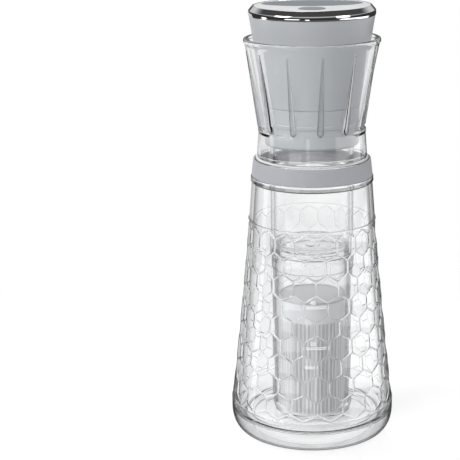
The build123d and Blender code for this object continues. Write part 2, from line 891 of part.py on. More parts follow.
def vent_valve():
    """Small solenoid valve that lets air back in."""
    body = rod(valve_radius, head_floor, head_floor + valve_height, valve_place)
    body = fillet(body.edges().group_by(Axis.Z)[-1], edge_round)
    top = head_floor + valve_height
    body += rod(valve_pin, top, top + valve_pin_height, valve_place)
    return body - rod(nozzle_bore, head_floor, head_floor + valve_height / 2, valve_place)


# ---------------------------------------------------------------- brew tube
def brew_tube():
    """Clear tube with lugs at its top and lug slots at its foot."""
    tube = ring(tube_radius, tube_bore, coupling_height + gasket_thickness, tube_top)
    tube += lugs(tube_radius + lug_reach, tube_radius - lug_root, lug_base(), lug_height)
    slots = lug_slots(tube_bore + lug_reach, cup_spigot_radius, filter_lug_base(), lug_height,
                      coupling_height + gasket_thickness, filter_turn)
    return tube - slots


def filter_lug_base():
    """Height of the lugs that hold the filter in the tube."""
    return coupling_height + gasket_thickness + filter_lug_lift


# ---------------------------------------------------------------- filter
def filter_cup():
    """Clear cup with the collar that meets the tube and the spigot that goes up inside it."""
    collar_base = coupling_height - collar_height
    inner = cup_radius - cup_wall
    floor = cup_base + cup_floor
    bead = cup_base + bead_height
    shelf = coupling_height - cup_shelf
    outside = turned(
        (0, cup_base), (cup_foot_radius - cup_taper, cup_base, cup_corner),
        (cup_foot_radius, bead - bead_half, bead_sweep),
        (cup_foot_radius + cup_bead, bead, bead_round),
        (cup_foot_radius, bead + bead_half, bead_sweep),
        (cup_radius, collar_base), (collar_radius, collar_base + collar_chamfer, soft_round),
        (collar_radius, coupling_height, edge_round), (cup_spigot_radius, coupling_height),
        (cup_spigot_radius, cup_rim), (0, cup_rim))
    inside = turned((0, floor), (cup_foot_radius - cup_wall, floor, cup_inner_corner),
                    (inner, collar_base), (inner, shelf - cup_shelf_slope), (cup_bore, shelf),
                    (cup_bore, cup_rim), (0, cup_rim))
    return outside - inside + lugs(cup_spigot_radius + lug_reach - lift_gap / 2,
                                   cup_spigot_radius - lug_root, filter_lug_base(), lug_height)


def filter_seal():
    """Flat seal between the collar and the end of the tube."""
    return ring(tube_radius - seal_inset, tube_bore + lug_reach + seal_play, coupling_height,
                coupling_height + gasket_thickness - seat_gap)


def level_marks():
    """Raised level lines on the front of the cup, each a pair."""
    lines = []
    for height, angle in zip(mark_heights, mark_sweeps):
        for low in (height - mark_pitch, height):
            wall = cup_wall_at(low)
            lines.append(arc_piece(wall + mark_relief, wall + mark_gap, low, low + mark_width,
                                   mark_start, angle))
    return Compound(children=lines)


def cup_wall_at(height):
    """Outside radius of the cup's wall between its bead and its collar."""
    low, high = cup_base + bead_height + bead_half, coupling_height - collar_height
    return cup_foot_radius + (cup_radius - cup_foot_radius) * (height - low) / (high - low)


def filter_lid():
    """Dished lid with raised rings that rests on the spigot's rim."""
    outer = cup_bore - lift_gap
    top = lid_base + lid_thickness
    flange_base = cup_rim + seat_gap
    flange_top = flange_base + lid_flange
    dish = outer - lid_rib
    lid = turned((0, lid_base), (outer, lid_base, edge_round), (outer, flange_base),
                 (cup_spigot_radius, flange_base), (cup_spigot_radius, flange_top, edge_round),
                 (dish, flange_top, edge_round), (dish, top), (0, top))
    lid += ring(lid_ring, lid_ring - lid_rib, top, top + lid_ring_height)
    lid += turned((0, top), (lid_boss, top), (lid_boss, top + lid_boss_height, edge_round),
                  (0, top + lid_boss_height))
    for n in range(lid_hole_count):
        place = around((lid_ring + dish) / 2, n * 360 / lid_hole_count)
        lid -= rod(lid_hole, lid_base, top, place)
    return lid


# ---------------------------------------------------------------- basket
def basket_frame():
    """Clear frame: top ring, bottom ring and the slats between them."""
    inner = mesh_radius - mesh_thickness
    foot = cup_base + cup_floor + seat_gap
    frame = ring(basket_radius, inner - slat_depth, mesh_top, basket_top)
    frame += ring(basket_radius, inner - foot_ring_width, foot, mesh_base)
    low, high = mesh_base - slat_root, mesh_top + slat_root
    slat = block((inner - slat_depth, inner - slat_gap), (-slat_width / 2, slat_width / 2),
                 (low, high)) & rod(inner - slat_gap, low, high)
    frame += [Rot(0, 0, 30 + n * 360 / slat_count) * slat for n in range(slat_count)]
    return frame


def basket_mesh():
    """Steel mesh sleeve between the rings."""
    return ring(mesh_radius, mesh_radius - mesh_thickness, mesh_base, mesh_top)


def basket_floor():
    """Steel mesh disc across the bottom ring."""
    radius = mesh_radius - mesh_thickness - foot_ring_width
    low = mesh_base - floor_mesh_drop
    return rod(radius, low, low + mesh_thickness)


def basket_lid_rim():
    """Rim of the basket's lid, on the top ring."""
    low = basket_top + seat_gap
    outer = basket_radius - basket_lid_inset
    return turned((mesh_radius - basket_lid_width, low), (outer, low),
                  (outer, low + basket_lid_height, edge_round),
                  (mesh_radius - basket_lid_width, low + basket_lid_height))


def basket_lid_mesh():
    """Mesh disc inside the lid's rim."""
    low = basket_top + seat_gap + lid_mesh_lift
    return rod(mesh_radius - basket_lid_width, low, low + mesh_thickness)


# ---------------------------------------------------------------- output
NODES = (
    carafe_body, neck_band, funnel_collar, funnel_gasket, head_lower_housing, head_housing,
    head_seal, tube_seal, case_screws, trim_ring, top_plate, top_inlay, power_button,
    circuit_board, board_screws, tactile_switch, usb_port, port_flap, battery_cell,
    battery_cradle, wires, carrier_plate, carrier_screws, pump_mount, pump_housing, pump_motor,
    motor_shaft, pump_cam, pump_diaphragm, air_nozzle, air_hose, vent_valve, brew_tube,
    filter_cup, filter_seal, level_marks, filter_lid, basket_frame, basket_mesh, basket_floor,
    basket_lid_rim, basket_lid_mesh)

os.makedirs("parts", exist_ok=True)
for node in NODES:
    save(node.__name__, node())
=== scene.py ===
"""Looks of a clear cold brew coffee maker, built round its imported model.

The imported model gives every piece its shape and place. This script gives each piece its finish, and models
again, in finer meshes, the pieces whose surface needs more: the hexagon-faceted carafe, the ribbed funnel,
the crowned chrome ring, the pleated filter sleeve and the level lines. It adds the numbers by those lines.
"""

import json
import logging
import math
from dataclasses import dataclass
from enum import Enum, IntEnum
from typing import Any

import bmesh
import bpy
from mathutils import Matrix, Vector

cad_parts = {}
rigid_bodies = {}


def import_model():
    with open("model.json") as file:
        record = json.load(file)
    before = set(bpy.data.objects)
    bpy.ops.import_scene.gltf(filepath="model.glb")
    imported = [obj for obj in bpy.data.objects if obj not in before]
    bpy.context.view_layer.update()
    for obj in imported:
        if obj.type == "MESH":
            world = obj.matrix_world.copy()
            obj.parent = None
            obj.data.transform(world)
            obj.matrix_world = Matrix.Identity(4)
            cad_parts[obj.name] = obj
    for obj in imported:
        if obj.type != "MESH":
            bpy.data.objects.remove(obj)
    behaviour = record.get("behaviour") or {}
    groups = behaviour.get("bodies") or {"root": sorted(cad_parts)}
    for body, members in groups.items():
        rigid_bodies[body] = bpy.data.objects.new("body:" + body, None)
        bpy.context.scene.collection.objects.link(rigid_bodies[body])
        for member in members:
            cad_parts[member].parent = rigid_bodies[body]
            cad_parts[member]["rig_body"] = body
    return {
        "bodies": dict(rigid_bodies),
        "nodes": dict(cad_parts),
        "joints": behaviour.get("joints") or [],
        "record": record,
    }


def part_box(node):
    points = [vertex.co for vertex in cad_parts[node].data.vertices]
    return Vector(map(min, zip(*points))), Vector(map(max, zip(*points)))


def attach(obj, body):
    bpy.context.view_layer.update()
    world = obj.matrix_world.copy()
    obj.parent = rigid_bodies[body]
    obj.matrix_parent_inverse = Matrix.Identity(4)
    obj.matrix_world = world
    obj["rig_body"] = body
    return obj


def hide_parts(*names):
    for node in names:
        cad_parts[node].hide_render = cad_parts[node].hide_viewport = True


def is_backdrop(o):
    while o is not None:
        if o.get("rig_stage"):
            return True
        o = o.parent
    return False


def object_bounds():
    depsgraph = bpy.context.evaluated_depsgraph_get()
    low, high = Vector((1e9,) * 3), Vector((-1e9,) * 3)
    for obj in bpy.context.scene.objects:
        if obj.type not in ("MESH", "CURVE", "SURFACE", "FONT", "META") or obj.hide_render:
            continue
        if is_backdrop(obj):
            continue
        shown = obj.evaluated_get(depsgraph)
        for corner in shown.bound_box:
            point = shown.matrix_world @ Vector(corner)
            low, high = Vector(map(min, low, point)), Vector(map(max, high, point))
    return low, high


MM = 0.001
PICTURE_SIDE = 460      # pixels
WELD = 1e-6             # metres between points that are joined
WHITE = (1, 1, 1, 1)

Colour = tuple[float, float, float]
Place = tuple[float, float, float]
Range = tuple[float, float]
Profile = list[tuple[float, float]]

log = logging.getLogger("coffee_maker")


class Grain(Enum):
    """How the surface of a moulded or plated piece is textured."""

    POLISHED = "polished"
    SATIN = "satin"
    BRUSHED = "brushed"


# ------------------------------------------------------------------------------------------- finishes
class Nodes:
    """A node tree, and short calls to add to it."""

    def __init__(self, tree: bpy.types.NodeTree) -> None:
        """Take a node tree to add to."""
        self.tree = tree

    def add(self, kind: str, inputs: dict[str | int, Any] | None = None, **settings: Any) -> bpy.types.Node:
        """Add a node.

        Args:
            kind: The node's type name, without its ShaderNode prefix.
            inputs: Values or output sockets for its inputs, by name or number.
            settings: Values for its own attributes.

        Returns:
            The new node.
        """
        node = self.tree.nodes.new("ShaderNode" + kind)
        for key, value in settings.items():
            setattr(node, key, value)
        for key, value in (inputs or {}).items():
            self.feed(node.inputs[key], value)
        return node

    def feed(self, socket: bpy.types.NodeSocket, value: Any) -> None:
        """Set an input socket to a value, or link an output socket to it.

        Args:
            socket: The input socket.
            value: The value or the output socket.
        """
        if isinstance(value, bpy.types.NodeSocket):
            self.tree.links.new(value, socket)
        else:
            socket.default_value = value

    def math(self, operation: str, *values: Any, **settings: Any) -> bpy.types.NodeSocket:
        """Reckon with one or two values and return the result."""
        return self.add("Math", dict(enumerate(values)), operation=operation, **settings).outputs[0]

    def white(self, kind: str, strength: Any) -> bpy.types.NodeSocket:
        """Add a white emission or background of a given strength."""
        return self.add(kind, {"Color": WHITE, "Strength": strength}).outputs[0]

    def mix(self, share: bpy.types.NodeSocket, first: bpy.types.NodeSocket,
            second: bpy.types.NodeSocket) -> bpy.types.NodeSocket:
        """Mix two shaders by the share of the second."""
        return self.add("MixShader", {0: share, 1: first, 2: second}).outputs[0]

    def place(self) -> bpy.types.NodeSocket:
        """Return the position on the object, in its own space."""
        return self.add("TexCoord").outputs["Object"]

    def noise(self, size: float, detail: float = 2.0, stretch: Place = (1, 1, 1)) -> bpy.types.NodeSocket:
        """Add a noise pattern.

        Args:
            size: Width of its blots in metres.
            detail: How many finer layers it has.
            stretch: How many times longer the blots are along each axis.

        Returns:
            Its value, from 0 to 1.
        """
        scale = tuple(1 / (size * s) for s in stretch)
        mapped = self.add("Mapping", {"Vector": self.place(), "Scale": scale})
        inputs = {"Vector": mapped.outputs[0], "Scale": 1.0, "Detail": detail}
        return self.add("TexNoise", inputs).outputs[0]

    def ranged(self, value: bpy.types.NodeSocket, low: float, high: float,
               start: float = 0.3, end: float = 0.7) -> bpy.types.NodeSocket:
        """Map a value between start and end to one between low and high."""
        inputs = {0: value, 1: start, 2: end, 3: low, 4: high}
        return self.add("MapRange", inputs, interpolation_type="SMOOTHSTEP").outputs[0]

    def blend(self, share: bpy.types.NodeSocket, first: Any, second: Any) -> bpy.types.NodeSocket:
        """Mix two colours.

        Args:
            share: How much of the second colour shows.
            first: A colour, or the output of another mix.
            second: The same.

        Returns:
            The mixed colour.
        """
        mix = self.add("Mix", data_type="RGBA")
        for socket, value in zip((mix.inputs[0], mix.inputs[6], mix.inputs[7]), (share, first, second)):
            self.feed(socket, (*value, 1) if isinstance(value, tuple) else value)
        return mix.outputs[2]

    def turn_wave(self, count: int) -> bpy.types.NodeSocket:
        """Return a cosine that runs round the upright axis a number of times."""
        turn = self.add("TexGradient", {"Vector": self.place()}, gradient_type="RADIAL").outputs[1]
        return self.math("COSINE", self.math("MULTIPLY", turn, 2 * math.pi * count))


class Shader(Nodes):
    """A material's node tree with its Principled shader."""

    def __init__(self, name: str) -> None:
        """Start a material.

        Args:
            name: The material's name.
        """
        self.material = bpy.data.materials.new(name)
        self.material.use_nodes = True
        super().__init__(self.material.node_tree)
        self.shader = self.tree.nodes["Principled BSDF"]

    def set(self, inputs: dict[str, Any]) -> None:
        """Set or link inputs of the Principled shader."""
        for key, value in inputs.items():
            self.feed(self.shader.inputs[key], value)

    def vary(self, pattern: bpy.types.NodeSocket, roughness: float, spread: Range) -> None:
        """Let the roughness vary with a pattern, between two steps away from its plain value."""
        self.set({"Roughness": self.ranged(pattern, roughness + spread[0], roughness + spread[1])})

    def bump(self, height: bpy.types.NodeSocket, depth: float) -> None:
        """Raise the surface by a pattern of a given depth in metres."""
        inputs = {"Height": height, "Distance": depth, "Strength": 1.0}
        self.set({"Normal": self.add("Bump", inputs).outputs[0]})


@dataclass(frozen=True)
class ClearPlastic:
    """Clear moulded plastic that bends light, with painted shade and light in its colour: it greys where it
    slants away, darkens edge on, and darkens low down below a given height.
    """

    tint: Colour = (0.99, 0.995, 0.997)
    # painted shade and light where the surface slants away
    veil: Colour = (0.9, 0.91, 0.92)
    # painted shade where the surface is seen edge on
    edge: Colour = (0.004, 0.0045, 0.005)
    # painted shade low down, below a given height
    low_shade: Colour = (0.03, 0.032, 0.035)
    veil_start: float = 0.3
    edge_start: float = 0.5
    edge_end: float = 1.0
    low_shade_height: float = 0.0
    roughness: float = 0.0
    ior: float = 1.45
    ripple: float = 0.014
    ripple_depth: float = 0.000012

    def material(self, name: str) -> bpy.types.Material:
        """Make the material.

        Args:
            name: The material's name.

        Returns:
            The material.
        """
        tree = Shader(name)
        facing = tree.add("LayerWeight", {"Blend": 0.5}).outputs["Facing"]
        slant = tree.ranged(facing, 0.0, 1.0, self.veil_start, self.edge_start)
        clear = tree.ranged(facing, 1.0, 0.0, self.edge_start, self.edge_end)
        clear = tree.math("POWER", clear, 2.0)
        # painted shade: the colour greys at a slant and goes dark edge on
        colour = tree.blend(clear, self.edge, tree.blend(slant, self.tint, self.veil))
        # painted shade: darker low down, below the given height
        if self.low_shade_height:
            height = tree.add("SeparateXYZ", {0: tree.place()}).outputs[2]
            low_shade = tree.ranged(height, 1.0, 0.0, 0.0, self.low_shade_height)
            colour = tree.blend(low_shade, colour, self.low_shade)
        tree.set({"Base Color": colour, "Roughness": self.roughness, "IOR": self.ior,
                  "Transmission Weight": 1.0})
        tree.bump(tree.noise(self.ripple, 1.0), self.ripple_depth)
        return tree.material


@dataclass(frozen=True)
class Surface:
    """Faint pattern of a surface, in metres: blots that vary the gloss, and a raised grain."""

    blot: float
    spread: Range
    grain: float
    grain_detail: float
    depth: float


MOULDED = {
    Grain.SATIN: Surface(0.0012, (-0.05, 0.05), 0.0004, 3.0, 0.000012),
    Grain.POLISHED: Surface(0.01, (0.0, 0.03), 0.012, 1.0, 0.00001),
}


@dataclass(frozen=True)
class MouldedPlastic:
    """Opaque moulded plastic with a fine grain and faint mottling."""

    colour: Colour
    roughness: float = 0.42
    grain: Grain = Grain.SATIN
    mottle: float = 0.04
    gloss: float = 0.5
    mottle_size: float = 0.02

    def material(self, name: str) -> bpy.types.Material:
        """Make the material.

        Args:
            name: The material's name.

        Returns:
            The material.
        """
        tree = Shader(name)
        dark = tuple(c * (1 - self.mottle) for c in self.colour)
        light = tuple(min(1.0, c * (1 + self.mottle)) for c in self.colour)
        surface = MOULDED[self.grain]
        tree.set({"Base Color": tree.blend(tree.noise(self.mottle_size), dark, light),
                  "Specular IOR Level": self.gloss})
        tree.vary(tree.noise(surface.blot), self.roughness, surface.spread)
        tree.bump(tree.noise(surface.grain, surface.grain_detail), surface.depth)
        return tree.material


@dataclass(frozen=True)
class Silicone:
    """Soft seal or band with a dusty sheen."""

    colour: Colour
    roughness: float = 0.5
    sheen: float = 0.15
    sheen_roughness: float = 0.4
    dust: float = 0.92
    dust_size: float = 0.004
    surface: Surface = Surface(0.003, (-0.04, 0.06), 0.0006, 2.0, 0.00001)

    def material(self, name: str) -> bpy.types.Material:
        """Make the material.

        Args:
            name: The material's name.

        Returns:
            The material.
        """
        tree = Shader(name)
        dusty = tuple(c * self.dust for c in self.colour)
        tree.set({"Base Color": tree.blend(tree.noise(self.dust_size), dusty, self.colour),
                  "Sheen Weight": self.sheen, "Sheen Roughness": self.sheen_roughness})
        tree.vary(tree.noise(self.surface.blot), self.roughness, self.surface.spread)
        tree.bump(tree.noise(self.surface.grain, self.surface.grain_detail), self.surface.depth)
        return tree.material


@dataclass(frozen=True)
class Plating:
    """Polished or brushed metal."""

    colour: Colour
    roughness: float = 0.08
    grain: Grain = Grain.POLISHED
    dulled: float = 0.9
    smudge: float = 0.012
    smudge_spread: Range = (0.0, 0.03)
    streak: float = 0.0008
    streak_length: float = 14
    streak_spread: Range = (0.0, 0.12)
    streak_depth: float = 0.000015

    def material(self, name: str) -> bpy.types.Material:
        """Make the material.

        Args:
            name: The material's name.

        Returns:
            The material.
        """
        tree = Shader(name)
        brushed = self.grain is Grain.BRUSHED
        if brushed:
            pattern = tree.noise(self.streak, 3.0, stretch=(1, 1, self.streak_length))
            tree.bump(pattern, self.streak_depth)
        else:
            pattern = tree.noise(self.smudge)
        dark = tuple(c * self.dulled for c in self.colour)
        tree.set({"Metallic": 1.0, "Base Color": tree.blend(pattern, dark, self.colour)})
        tree.vary(pattern, self.roughness, self.streak_spread if brushed else self.smudge_spread)
        return tree.material


@dataclass(frozen=True)
class WovenSteel:
    """Fine steel gauze, woven over and under at a given pitch."""

    colour: Colour = (0.75, 0.75, 0.76)
    shade: Colour = (0.5, 0.5, 0.51)
    pitch: float = 0.0006
    roughness: float = 0.35
    metallic: float = 0.15
    wave_scale: float = 0.314       # of the wave texture, for waves one metre long
    depth: float = 0.00006
    pleats: int = 0
    pleat_shade: float = 0.45
    pleat_range: Range = (-0.9, 0.9)
    streak: float = 0.006
    streak_length: float = 60
    streak_range: Range = (-0.95, 1.0)

    def material(self, name: str) -> bpy.types.Material:
        """Make the material.

        Args:
            name: The material's name.

        Returns:
            The material.
        """
        tree = Shader(name)
        scale = self.wave_scale / self.pitch
        waves = [tree.add("TexWave", {"Vector": tree.place(), "Scale": scale}, bands_direction=axis,
                          wave_profile="SIN").outputs[1] for axis in "XYZ"]
        crossed = tree.math("MULTIPLY", tree.math("MULTIPLY", waves[0], waves[1]), waves[2])
        colour = tree.blend(tree.ranged(crossed, 0.0, 1.0, 0.0, 0.5), self.shade, self.colour)
        # painted shade: the pleats' valleys are darkened, in stripes made uneven by long noise streaks
        if self.pleats:
            noise = tree.noise(self.streak, 1.0, stretch=(1, 1, self.streak_length))
            streaks = tree.ranged(noise, *self.streak_range)
            wave = tree.math("ADD", tree.turn_wave(self.pleats), streaks)
            shaded_valley = tuple(c * self.pleat_shade for c in self.colour)
            colour = tree.blend(tree.ranged(wave, 0.0, 1.0, *self.pleat_range), shaded_valley, colour)
        tree.set({"Base Color": colour, "Metallic": self.metallic, "Roughness": self.roughness})
        tree.bump(crossed, self.depth)
        return tree.material


@dataclass(frozen=True)
class SolderMask:
    """Circuit board lacquer over raised copper tracks."""

    colour: Colour = (0.02, 0.16, 0.07)
    track: Colour = (0.05, 0.26, 0.12)
    scale: float = 180.0
    track_width: float = 0.06
    track_depth: float = 0.00004
    blot: float = 0.004
    roughness: Range = (0.2, 0.3)

    def material(self, name: str) -> bpy.types.Material:
        """Make the material.

        Args:
            name: The material's name.

        Returns:
            The material.
        """
        tree = Shader(name)
        black = (0, 0, 0, 1)
        bricks = tree.add("TexBrick", {"Vector": tree.place(), "Scale": self.scale,
                                       "Mortar Size": self.track_width, "Color1": black,
                                       "Color2": black, "Mortar": WHITE}).outputs[0]
        tree.set({"Base Color": tree.blend(bricks, self.colour, self.track),
                  "Roughness": tree.ranged(tree.noise(self.blot), *self.roughness)})
        tree.bump(bricks, self.track_depth)
        return tree.material


# --------------------------------------------------------------------------------------------- meshes
class Skin:
    """Points and faces of one piece in millimetres, welded into one closed mesh."""

    def __init__(self) -> None:
        """Start with no points."""
        self.bm = bmesh.new()

    def sheet(self, rows: list[list[Vector]], closed: bool = True, finish: int = 0) -> None:
        """Join rows of points with four-sided faces.

        Args:
            rows: Rows of equally many points.
            closed: Whether the last point of each row joins its first.
            finish: Which of the piece's finishes the faces take.
        """
        knots = [[self.bm.verts.new(p * MM) for p in row] for row in rows]
        width = len(rows[0])
        for below, above in zip(knots, knots[1:]):
            for n in range(width if closed else width - 1):
                far = (n + 1) % width
                face = self.bm.faces.new((below[n], below[far], above[far], above[n]))
                face.material_index = finish

    def fan(self, row: list[Vector], middle: Vector, finish: int = 0) -> None:
        """Close a row of points to one point in its middle.

        Args:
            row: The points, once round.
            middle: The point that they close to.
            finish: Which of the piece's finishes the faces take.
        """
        knots = [self.bm.verts.new(p * MM) for p in row]
        centre = self.bm.verts.new(middle * MM)
        for n, knot in enumerate(knots):
            self.bm.faces.new((knot, knots[(n + 1) % len(knots)], centre)).material_index = finish

    def make(self, name: str, *materials: bpy.types.Material, crease: float = 38.0) -> bpy.types.Object:
        """Weld the points and make the piece.

        Args:
            name: The piece's name.
            materials: Its finishes, by their number in the faces.
            crease: Edges that turn by more degrees than this are drawn sharp.

        Returns:
            The new object.
        """
        bmesh.ops.remove_doubles(self.bm, verts=self.bm.verts, dist=WELD)
        bmesh.ops.recalc_face_normals(self.bm, faces=self.bm.faces)
        mesh = bpy.data.meshes.new(name)
        self.bm.to_mesh(mesh)
        self.bm.free()
        mesh.shade_smooth()
        mesh.set_sharp_from_angle(angle=math.radians(crease))
        for material in materials:
            mesh.materials.append(material)
        piece = bpy.data.objects.new(name, mesh)
        bpy.context.scene.collection.objects.link(piece)
        return piece


def around(radius: float, angle: float, height: float) -> Vector:
    """Place a point by its distance from the axis, its angle round from the front and its height."""
    return Vector((radius * math.sin(angle), -radius * math.cos(angle), height))


def rounded(corners: list[tuple[float, ...]], steps: int = 5) -> Profile:
    """Round the corners of a turned outline.

    Args:
        corners: (radius, height) of each corner, with an optional rounding as a third number.
        steps: How many points each rounding gets.

    Returns:
        The outline's (radius, height) points.
    """
    outline: Profile = []
    for before, corner, after in zip([corners[0]] + corners[:-1], corners, corners[1:] + [corners[-1]]):
        here = Vector(corner[:2])
        if len(corner) < 3:
            outline.append(tuple(here))
            continue
        ways = [(Vector(other[:2]) - here).normalized() for other in (before, after)]
        half = ways[0].angle(ways[1]) / 2
        reach = corner[2] / math.tan(half)
        centre = here + (ways[0] + ways[1]).normalized() * (corner[2] / math.sin(half))
        start, end = [here + way * reach - centre for way in ways]
        turn = start.angle_signed(end)
        for n in range(steps + 1):
            spoke = Matrix.Rotation(-turn * n / steps, 2) @ start
            outline.append(tuple(centre + spoke))
    return outline


def quarter_ellipse(low: tuple[float, float], wide: tuple[float, float], steps: int = 14) -> Profile:
    """Outline a quarter ellipse from the flat of a base out to its widest part.

    Args:
        low: (radius, height) where it leaves the flat.
        wide: (radius, height) of its widest part.
        steps: How many stretches it has.

    Returns:
        The outline's (radius, height) points.
    """
    turns = [n / steps * math.pi / 2 for n in range(steps + 1)]
    return [(low[0] + (wide[0] - low[0]) * math.sin(t), wide[1] - (wide[1] - low[1]) * math.cos(t))
            for t in turns]


@dataclass
class Model:
    """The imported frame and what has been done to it."""

    frame: dict[str, Any]

    def dress(self, material: bpy.types.Material, *names: str) -> None:
        """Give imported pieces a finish.

        Args:
            material: The finish.
            names: The pieces' names.
        """
        for name in names:
            piece = self.frame["nodes"][name]
            if not piece.material_slots:
                piece.data.materials.append(material)
            for slot in piece.material_slots:
                slot.material = material
            log.info("dressed %s with %s", name, material.name)

    def clear(self, *names: str) -> None:
        """Let lamplight pass through clear pieces on to what they hold."""
        for name in names:
            self.frame["nodes"][name].visible_shadow = False

    def stand_in(self, piece: bpy.types.Object, node: str, slot: str) -> None:
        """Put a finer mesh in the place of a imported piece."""
        self.add(piece, self.frame["nodes"][node]["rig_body"], slot)
        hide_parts(node)

    def add(self, piece: bpy.types.Object, body: str, slot: str) -> None:
        """Let a new piece ride with a body.

        Args:
            piece: The new piece, in place.
            body: The body's name.
            slot: The record's material slot; it is not used.
        """
        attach(piece, body)
        log.info("added %s on %s, %d faces", piece.name, body, len(piece.data.polygons))


# --------------------------------------------------------------------------------------------- carafe
class CarafeFinish(IntEnum):
    """Which of the carafe's finishes a face takes."""

    CLEAR = 0
    THICK = 1
    CUT = 2
    SHADE = 3


@dataclass
class Carafe:
    """Clear carafe with a hexagon-faceted wall, and its soft neck band. Sizes in millimetres."""

    foot_radius: float = 50.5
    foot_ring: float = 7.0
    foot_recess: float = 1.5
    foot_round: float = 0.4
    foot_flat: float = 1.0
    recess_rim: float = 3.0
    base_radius: float = 59.2
    base_bulge: float = 15.0
    bulge_flat: float = 1.0
    step_round: float = 0.2
    fine_round: float = 0.3
    wall: float = 2.7
    wall_steps: int = 24
    floor: float = 12.0
    floor_corner: float = 7.0
    floor_corner_width: float = 9.8
    floor_middle: float = 20.0
    facet_bottom: float = 23.0
    facet_top: float = 158.5
    facet_low_radius: float = 58.9
    shoulder_radius: float = 45.1
    facet_bow: float = 0.5
    facet_step: float = 0.35
    facet_count: int = 19
    facet_rows: int = 9
    facet_margin: float = 1.3
    facet_turn: float = 3.4
    scoop: float = 0.3
    scoop_power: float = 0.6
    ridge: float = 0.28
    ridge_width: float = 0.5
    ridge_steps: tuple[float, ...] = (0.0, 0.13, 0.26, 0.4)
    facet_steps: tuple[float, ...] = (1.0, 1.6, 2.4, 3.4, 4.8, 6.4)
    edge_steps: int = 8
    edging_middle: float = 0.05
    ring_stand: float = 0.55
    ring_height: float = 0.6
    ring_round: float = 0.25
    ring_root: float = 0.1
    sill_radius: float = 46.5
    sill_width: float = 1.8
    sill_height: float = 0.9
    sill_round: float = 0.5
    sill_taper: float = 0.1
    sill_foot: float = 0.3
    shoulder_round: float = 3.0
    neck_radius: float = 42.9
    neck_round: float = 2.0
    lip_radius: float = 43.7
    lip_base: float = 186.0
    lip_chamfer: float = 0.8
    lip_round: float = 0.5
    lip_taper: float = 0.2
    lip_edge_taper: float = 0.15
    lip_clear: float = 1.4
    band_base: float = 190.4
    mouth_radius: float = 40.7
    mouth_bore: float = 38.5
    rim_round: float = 0.8
    height: float = 203.0
    finish: ClearPlastic = ClearPlastic()
    # painted shade: the base and shoulder ring grey at a slant, go dark edge on and darken at the foot
    thick: ClearPlastic = ClearPlastic(
        tint=(0.87, 0.875, 0.88), veil=(0.58, 0.59, 0.6), veil_start=0.1, edge_end=0.97,
        low_shade_height=0.005)
    # painted shade: the facets grey at a slant and go dark edge on
    cut: ClearPlastic = ClearPlastic(
        tint=(0.9, 0.905, 0.91), veil=(0.84, 0.85, 0.86), edge=(0.05, 0.052, 0.055), edge_start=0.65)
    # painted shade: the lip under the neck band is tinted dark
    shade: ClearPlastic = ClearPlastic(tint=(0.2, 0.205, 0.21), veil=(0.15, 0.155, 0.16))
    band: Silicone = Silicone((0.36, 0.365, 0.39))

    @property
    def pitch(self) -> float:
        """Height from one row of facets to the next."""
        stretch = self.facet_top - self.facet_bottom - 2 * self.facet_margin
        return stretch / (self.facet_rows - 1 + 4 / 3)

    @property
    def side(self) -> float:
        """Length of a facet's upright edges."""
        return self.pitch / 1.5

    @property
    def first_row(self) -> float:
        """Height of the middle of the lowest row of facets."""
        return self.facet_bottom + self.facet_margin + self.side

    @property
    def columns(self) -> int:
        """How many points a full circle of the carafe's mesh has."""
        return 2 * self.facet_count * self.edge_steps

    def wall_radius(self, height: float) -> float:
        """Find the outside radius of the ridges.

        Args:
            height: Height over the foot.

        Returns:
            The radius of a cone that is bowed in a little between its ends.
        """
        rise = (height - self.facet_bottom) / (self.facet_top - self.facet_bottom)
        cone = self.facet_low_radius + (self.shoulder_radius - self.facet_low_radius) * rise
        return cone - 4 * self.facet_bow * rise * (1 - rise)

    def point(self, step: float, height: float, sink: float = 0.0, radius: float | None = None) -> Vector:
        """Place a point some half facets round, sunk under the wall's ridges or at a radius of its own."""
        angle = math.radians(self.facet_turn + step * 180 / self.facet_count)
        return around(self.wall_radius(height) - sink if radius is None else radius, angle, height)

    def crest(self, distance: float) -> float:
        """Return how much of a ridge's height is missing at a distance from its middle."""
        share = min(1.0, distance / self.ridge_width)
        return 0.5 - 0.5 * math.cos(math.pi * share)

    def hollow(self, u: float, v: float) -> float:
        """Return how far a facet's surface lies under the round wall.

        Args:
            u: Way from its middle to its upright edges, from -1 to 1.
            v: Height over its middle.

        Returns:
            The depth, which fades out towards the facet's six edges.
        """
        upright, rising, falling = u, v / self.side + u / 2, v / self.side - u / 2
        inside = (1 - upright ** 2) * (1 - rising ** 2) * (1 - falling ** 2)
        return self.scoop * max(inside, 0.0) ** self.scoop_power

    def facet(self, skin: Skin, step: int, height: float) -> None:
        """Add one facet, from its ridges in to its middle.

        Args:
            skin: The mesh to add to.
            step: Way round the carafe in half facets.
            height: Height of the facet's middle.
        """
        side = self.side
        corners = [(0, side), (1, side / 2), (1, -side / 2), (0, -side), (-1, -side / 2), (-1, side / 2)]
        outline = []
        for (u, v), (far_u, far_v) in zip(corners, corners[1:] + corners[:1]):
            for n in range(self.edge_steps):
                share = n / self.edge_steps
                outline.append((u + (far_u - u) * share, v + (far_v - v) * share))
        apothem = side * math.cos(math.radians(30))
        rings = []
        for margin in (*self.ridge_steps, self.ridge_width, *self.facet_steps):
            scale = 1 - margin / apothem
            ring = []
            for u, v in outline:
                u, v = u * scale, v * scale
                sink = self.hollow(u, v) + self.ridge * self.crest(margin)
                ring.append(self.point(step + u, height + v, sink))
            rings.append(ring)
        skin.sheet(rings, finish=CarafeFinish.CUT)
        skin.fan(rings[-1], self.point(step, height, self.hollow(0, 0) + self.ridge), CarafeFinish.CUT)

